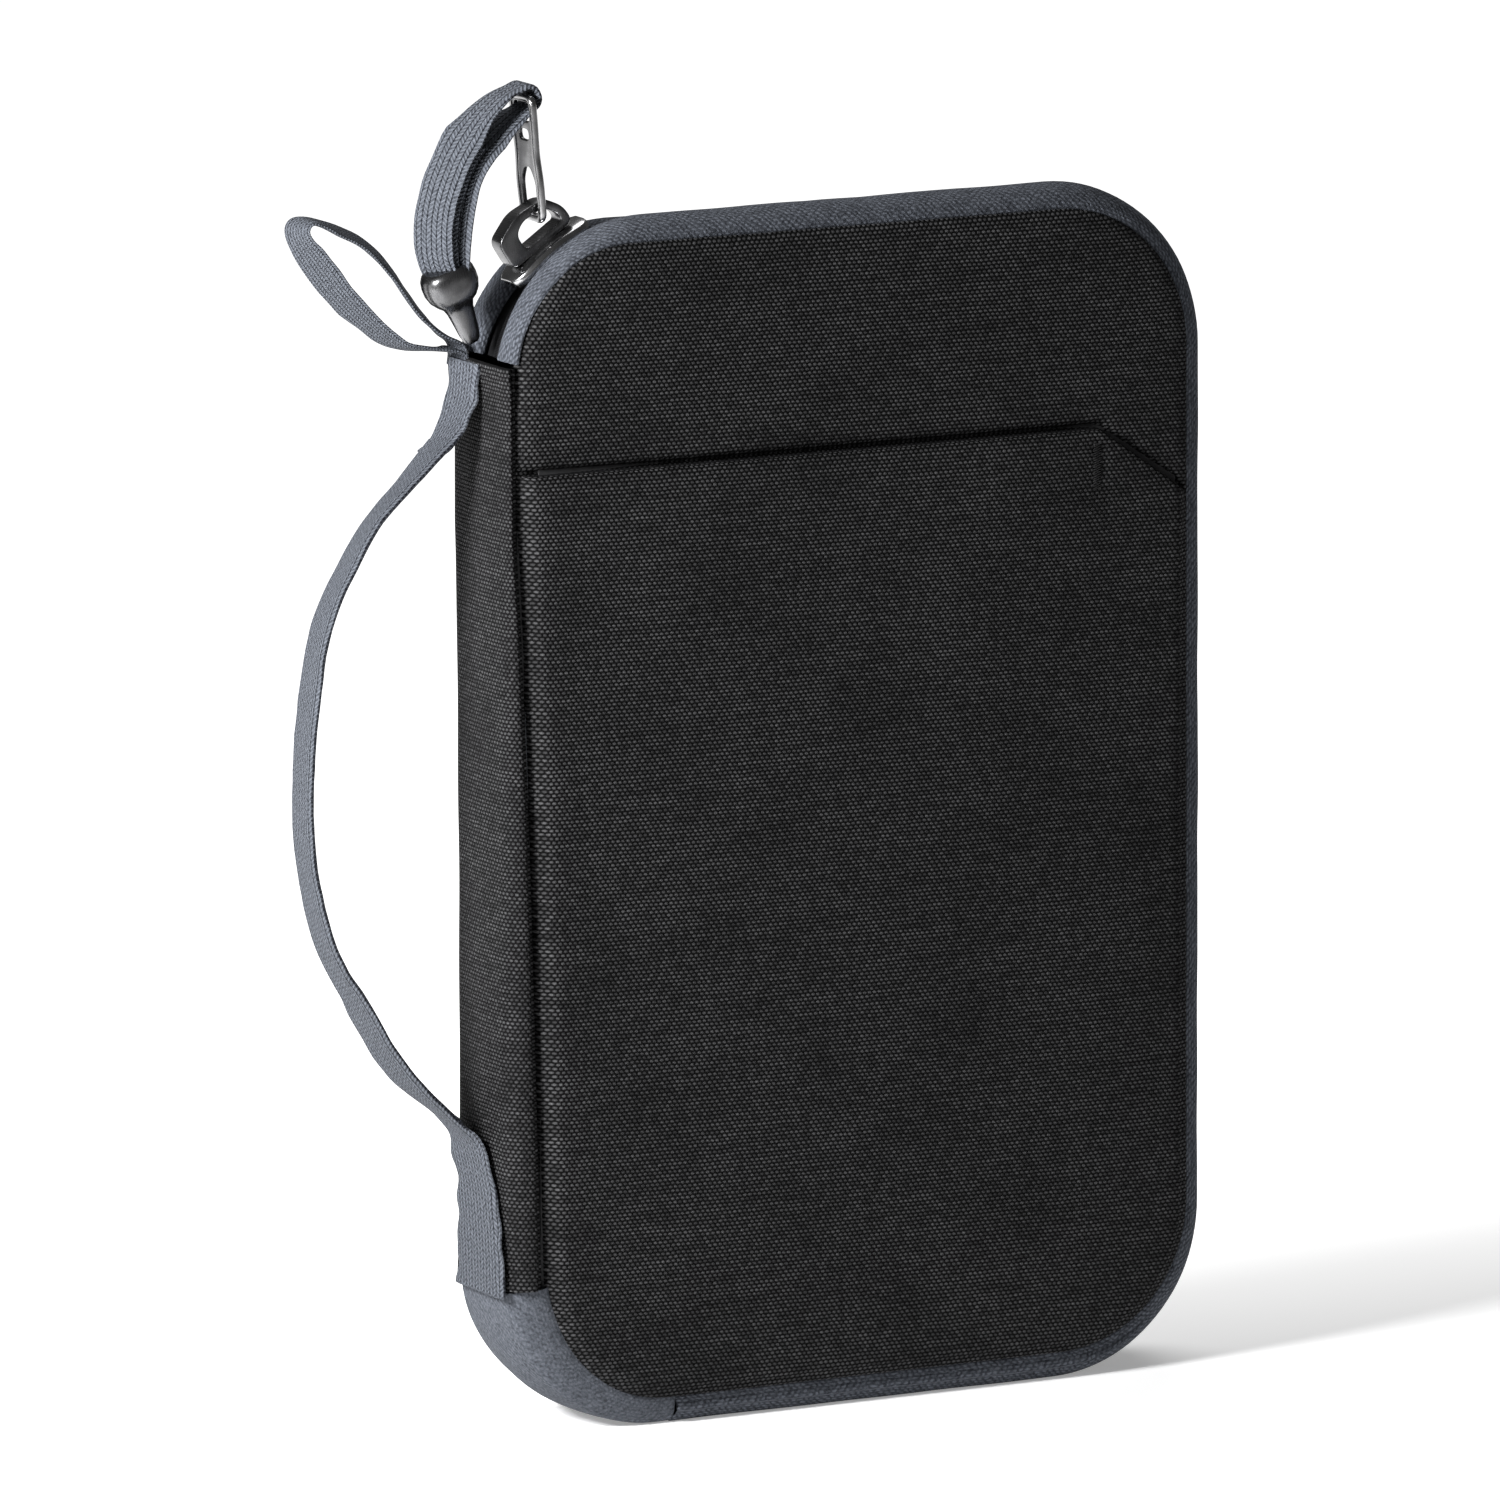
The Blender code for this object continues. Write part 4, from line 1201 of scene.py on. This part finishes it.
def make_pull():
    """Webbing doubled over the tab's top bar, a tucked fold between its legs, and the cap."""
    bar = tab_place(21.7 * MM, 0.0, 0.0)
    middle = [(0, 0), (-4.6, -2.6), (-9.8, -7.4), (-13.2, -13.0)]
    middle += [(-15.2, -19.6), (-15.6, -26.4), (-14.8, -30.6)]
    gaps = [2.0, 2.2, 1.8, 1.7, 1.9, 1.7, 1.1]
    steps = 5
    line = smooth_path([bar + Vector((x, 0, z)) * MM for x, z in middle], steps)
    apart = eased([v * MM for v in gaps], steps)
    upper, lower = [], []
    for i, point in enumerate(line):
        heading = direction(line, i)
        across = Vector((heading.z, 0, -heading.x)) * apart[i]
        upper.append(point + across)
        lower.append(point - across)
    first = math.atan2(upper[0].z - bar.z, upper[0].x - bar.x)
    turns = [first + sign * math.pi * k / 10 for sign in (1, -1) for k in range(1, 10)]
    arcs = [Vector((bar.x + apart[0] * math.cos(a), 0, bar.z + apart[0] * math.sin(a))) for a in turns]
    over = max((arcs[:9], arcs[9:]), key=lambda half: (half[4] - line[2]).length)
    path = upper[::-1] + over + lower
    lengths = along(path)
    total = lengths[-1]
    widths, tilt = [], []
    for length in lengths:
        from_bar = min(1.0, abs(length - total / 2) / (14 * MM))
        to_cap = min(1.0, min(length, total - length) / (7 * MM))
        widths.append((6.4 + 2.4 * from_bar - 1.2 * (1 - to_cap) ** 2) * MM)
        tilt.append(math.copysign(PULL_TWIST * from_bar**2, total / 2 - length))
    made = strap("pull_webbing_strap", path, widths, 1.05 * MM, tilt, 0.35 * MM, columns=8)
    ride(made, "zip_pull", "grey_webbing", WEBBING, "pull_webbing")
    tucked = line[2 * steps :]
    widths, tilt = [6.6 * MM] * len(tucked), [-PULL_TWIST] * len(tucked)
    fold = strap("pull_webbing_fold", tucked, widths, 1.0 * MM, tilt, 0.5 * MM, columns=6)
    ride(fold, "zip_pull", "grey_webbing", WEBBING)
    make_cap(line[-1], line[-1] - line[-2])


def make_cap(top, heading):
    """Moulded metal end: a round head with a shallow dished face, and a tapered tail."""
    down = (heading.normalized() + CAP_TURN).normalized()
    across = Vector((down.z, 0, -down.x))
    profile = [(-1.5, 3.6), (-1.2, 4.3), (-0.4, 4.8), (0.9, 5.0), (2.4, 4.95), (3.8, 4.5), (4.9, 3.7)]
    profile += [(5.7, 2.9), (6.8, 2.5), (8.8, 2.2), (11.2, 1.9), (12.6, 1.55), (13.2, 1.1), (13.4, 0.4)]
    rings = []
    for travel, radius in profile:
        center = top + down * travel * MM
        flat = 0.86 if travel < 5.5 else 0.7
        ring = []
        for angle in circle(CAP_SIDES):
            square = (abs(math.cos(angle)) ** 3 + abs(math.sin(angle)) ** 3) ** (-1 / 3)
            side = across * math.cos(angle) + Vector((0, flat * math.sin(angle), 0))
            dish = 0.4 * MM * hump(travel - 1.6, 2.0, 4) * max(0.0, -math.sin(angle)) ** 6
            ring.append(center + side * (radius * MM * (0.6 * square + 0.4) - dish))
        rings.append(ring)
    cloth = [[(0.0, 0.0)] * CAP_SIDES for _ in rings]
    cap = sweep("pull_end_cap_casting", rings, cloth, 60)
    ride(cap, "zip_pull", "gunmetal", GUNMETAL, "pull_end_cap")


# ---------------------------------------------------------------- inside


def finish_inside():
    """The flat inner pieces keep their shape and get their cloth, foam and metal."""
    looks = [
        (LINING, "front_lining", "rear_lining", "spine_lining"),
        (BINDING, "front_seam_binding", "rear_seam_binding", "coin_zip_tape"),
        (POCKET, "card_slot_1", "card_slot_2", "card_slot_3"),
        (POCKET, "coin_pocket_panel", "ticket_sleeve", "passport_pocket"),
        (FOAM, "front_foam_board", "rear_foam_board", "spine_stiffener"),
        (NYLON, "coin_zip_coil"),
        (GUNMETAL, "coin_slider"),
        (BRIGHT, "coin_pull_tab", "zip_end_stop"),
    ]
    for material, *names in looks:
        for name in names:
            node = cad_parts[name]
            node.data.materials.clear()
            node.data.materials.append(material)


# ---------------------------------------------------------------- stage


def make_stage():
    mesh = bpy.data.meshes.new("floor")
    reach = 6.0
    points = [(-reach, -reach, 0), (reach, -reach, 0), (reach, reach, 0), (-reach, reach, 0)]
    mesh.from_pydata(points, [], [(0, 1, 2, 3)])
    s = Shader("pale_floor")
    place, _, back = s.object_place(0, 1)
    pale = s.mix(s.noise(place, 6.0, 3.0), (0.88, 0.88, 0.88), (0.92, 0.92, 0.92))
    s.link(pale, s.main.inputs["Emission Color"])
    # Painted light: the floor glows faintly in front and fully from just behind the object, so that the
    # key light's shadow there is washed out to white.
    s.link(s.ramp(back, -0.12, 0.25) * 0.9 + 0.12, s.main.inputs["Emission Strength"])
    mesh.materials.append(s.finish(pale, 0.9))
    add_object("floor", mesh)


def add_light(name, place, size, power, aim):
    data = bpy.data.lights.new(name, "AREA")
    data.shape = "DISK"
    data.size = size
    data.energy = power
    made = add_object(name, data)
    made.location = place
    made.rotation_euler = (Vector(aim) - Vector(place)).to_track_quat("-Z", "Y").to_euler()


def make_lights():
    world = bpy.data.worlds.new("studio")
    world.use_nodes = True
    world.node_tree.nodes["Background"].inputs["Color"].default_value = (1, 1, 1, 1)
    world.node_tree.nodes["Background"].inputs["Strength"].default_value = 0.09
    bpy.context.scene.world = world
    aim = (MIDDLE_X, 0, HEIGHT / 2)
    add_light("key", (-0.50, -0.13, 0.34), 0.16, 6.9, aim)
    add_light("fill", (-0.9, -1.6, 0.7), 1.2, 0.6, aim)
    add_light("top", (0.15, 0.5, 1.2), 0.8, 7.5, aim)


def make_camera():
    a, e = math.radians(AZIMUTH), math.radians(ELEVATION)
    back = Vector((math.sin(a) * math.cos(e), -math.cos(a) * math.cos(e), math.sin(e)))
    right = Vector((math.cos(a), math.sin(a), 0))
    up = back.cross(right)
    aim = Vector((MIDDLE_X, 0, HEIGHT / 2)) + right * AIM_RIGHT + up * AIM_UP
    data = bpy.data.cameras.new("camera")
    data.lens = LENS
    data.sensor_width = 36
    data.clip_start, data.clip_end = 0.1, 20
    made = add_object("camera", data)
    made.location = aim + back * DISTANCE
    made.rotation_mode = "QUATERNION"
    made.rotation_quaternion = (-back).to_track_quat("-Z", "Y")
    bpy.context.scene.camera = made


make_stage()
make_lights()
make_camera()
bpy.context.scene.view_settings.view_transform = "Standard"
make_front_cover()
make_rear_cover()
make_slip_pocket()
make_bartack()
for cover_name, cover_side in (("front", -1), ("rear", 1)):
    make_gusset(cover_name, cover_side)
    make_zip(cover_name, cover_side)
    make_fold(f"{cover_name}_fold_cloth", f"{cover_name}_cover", cover_side)
    make_corner_gusset(cover_name, cover_side)
make_spine()
make_handle()
make_anchors()
make_loop()
make_slider()
make_tab()
make_pull()
finish_inside()
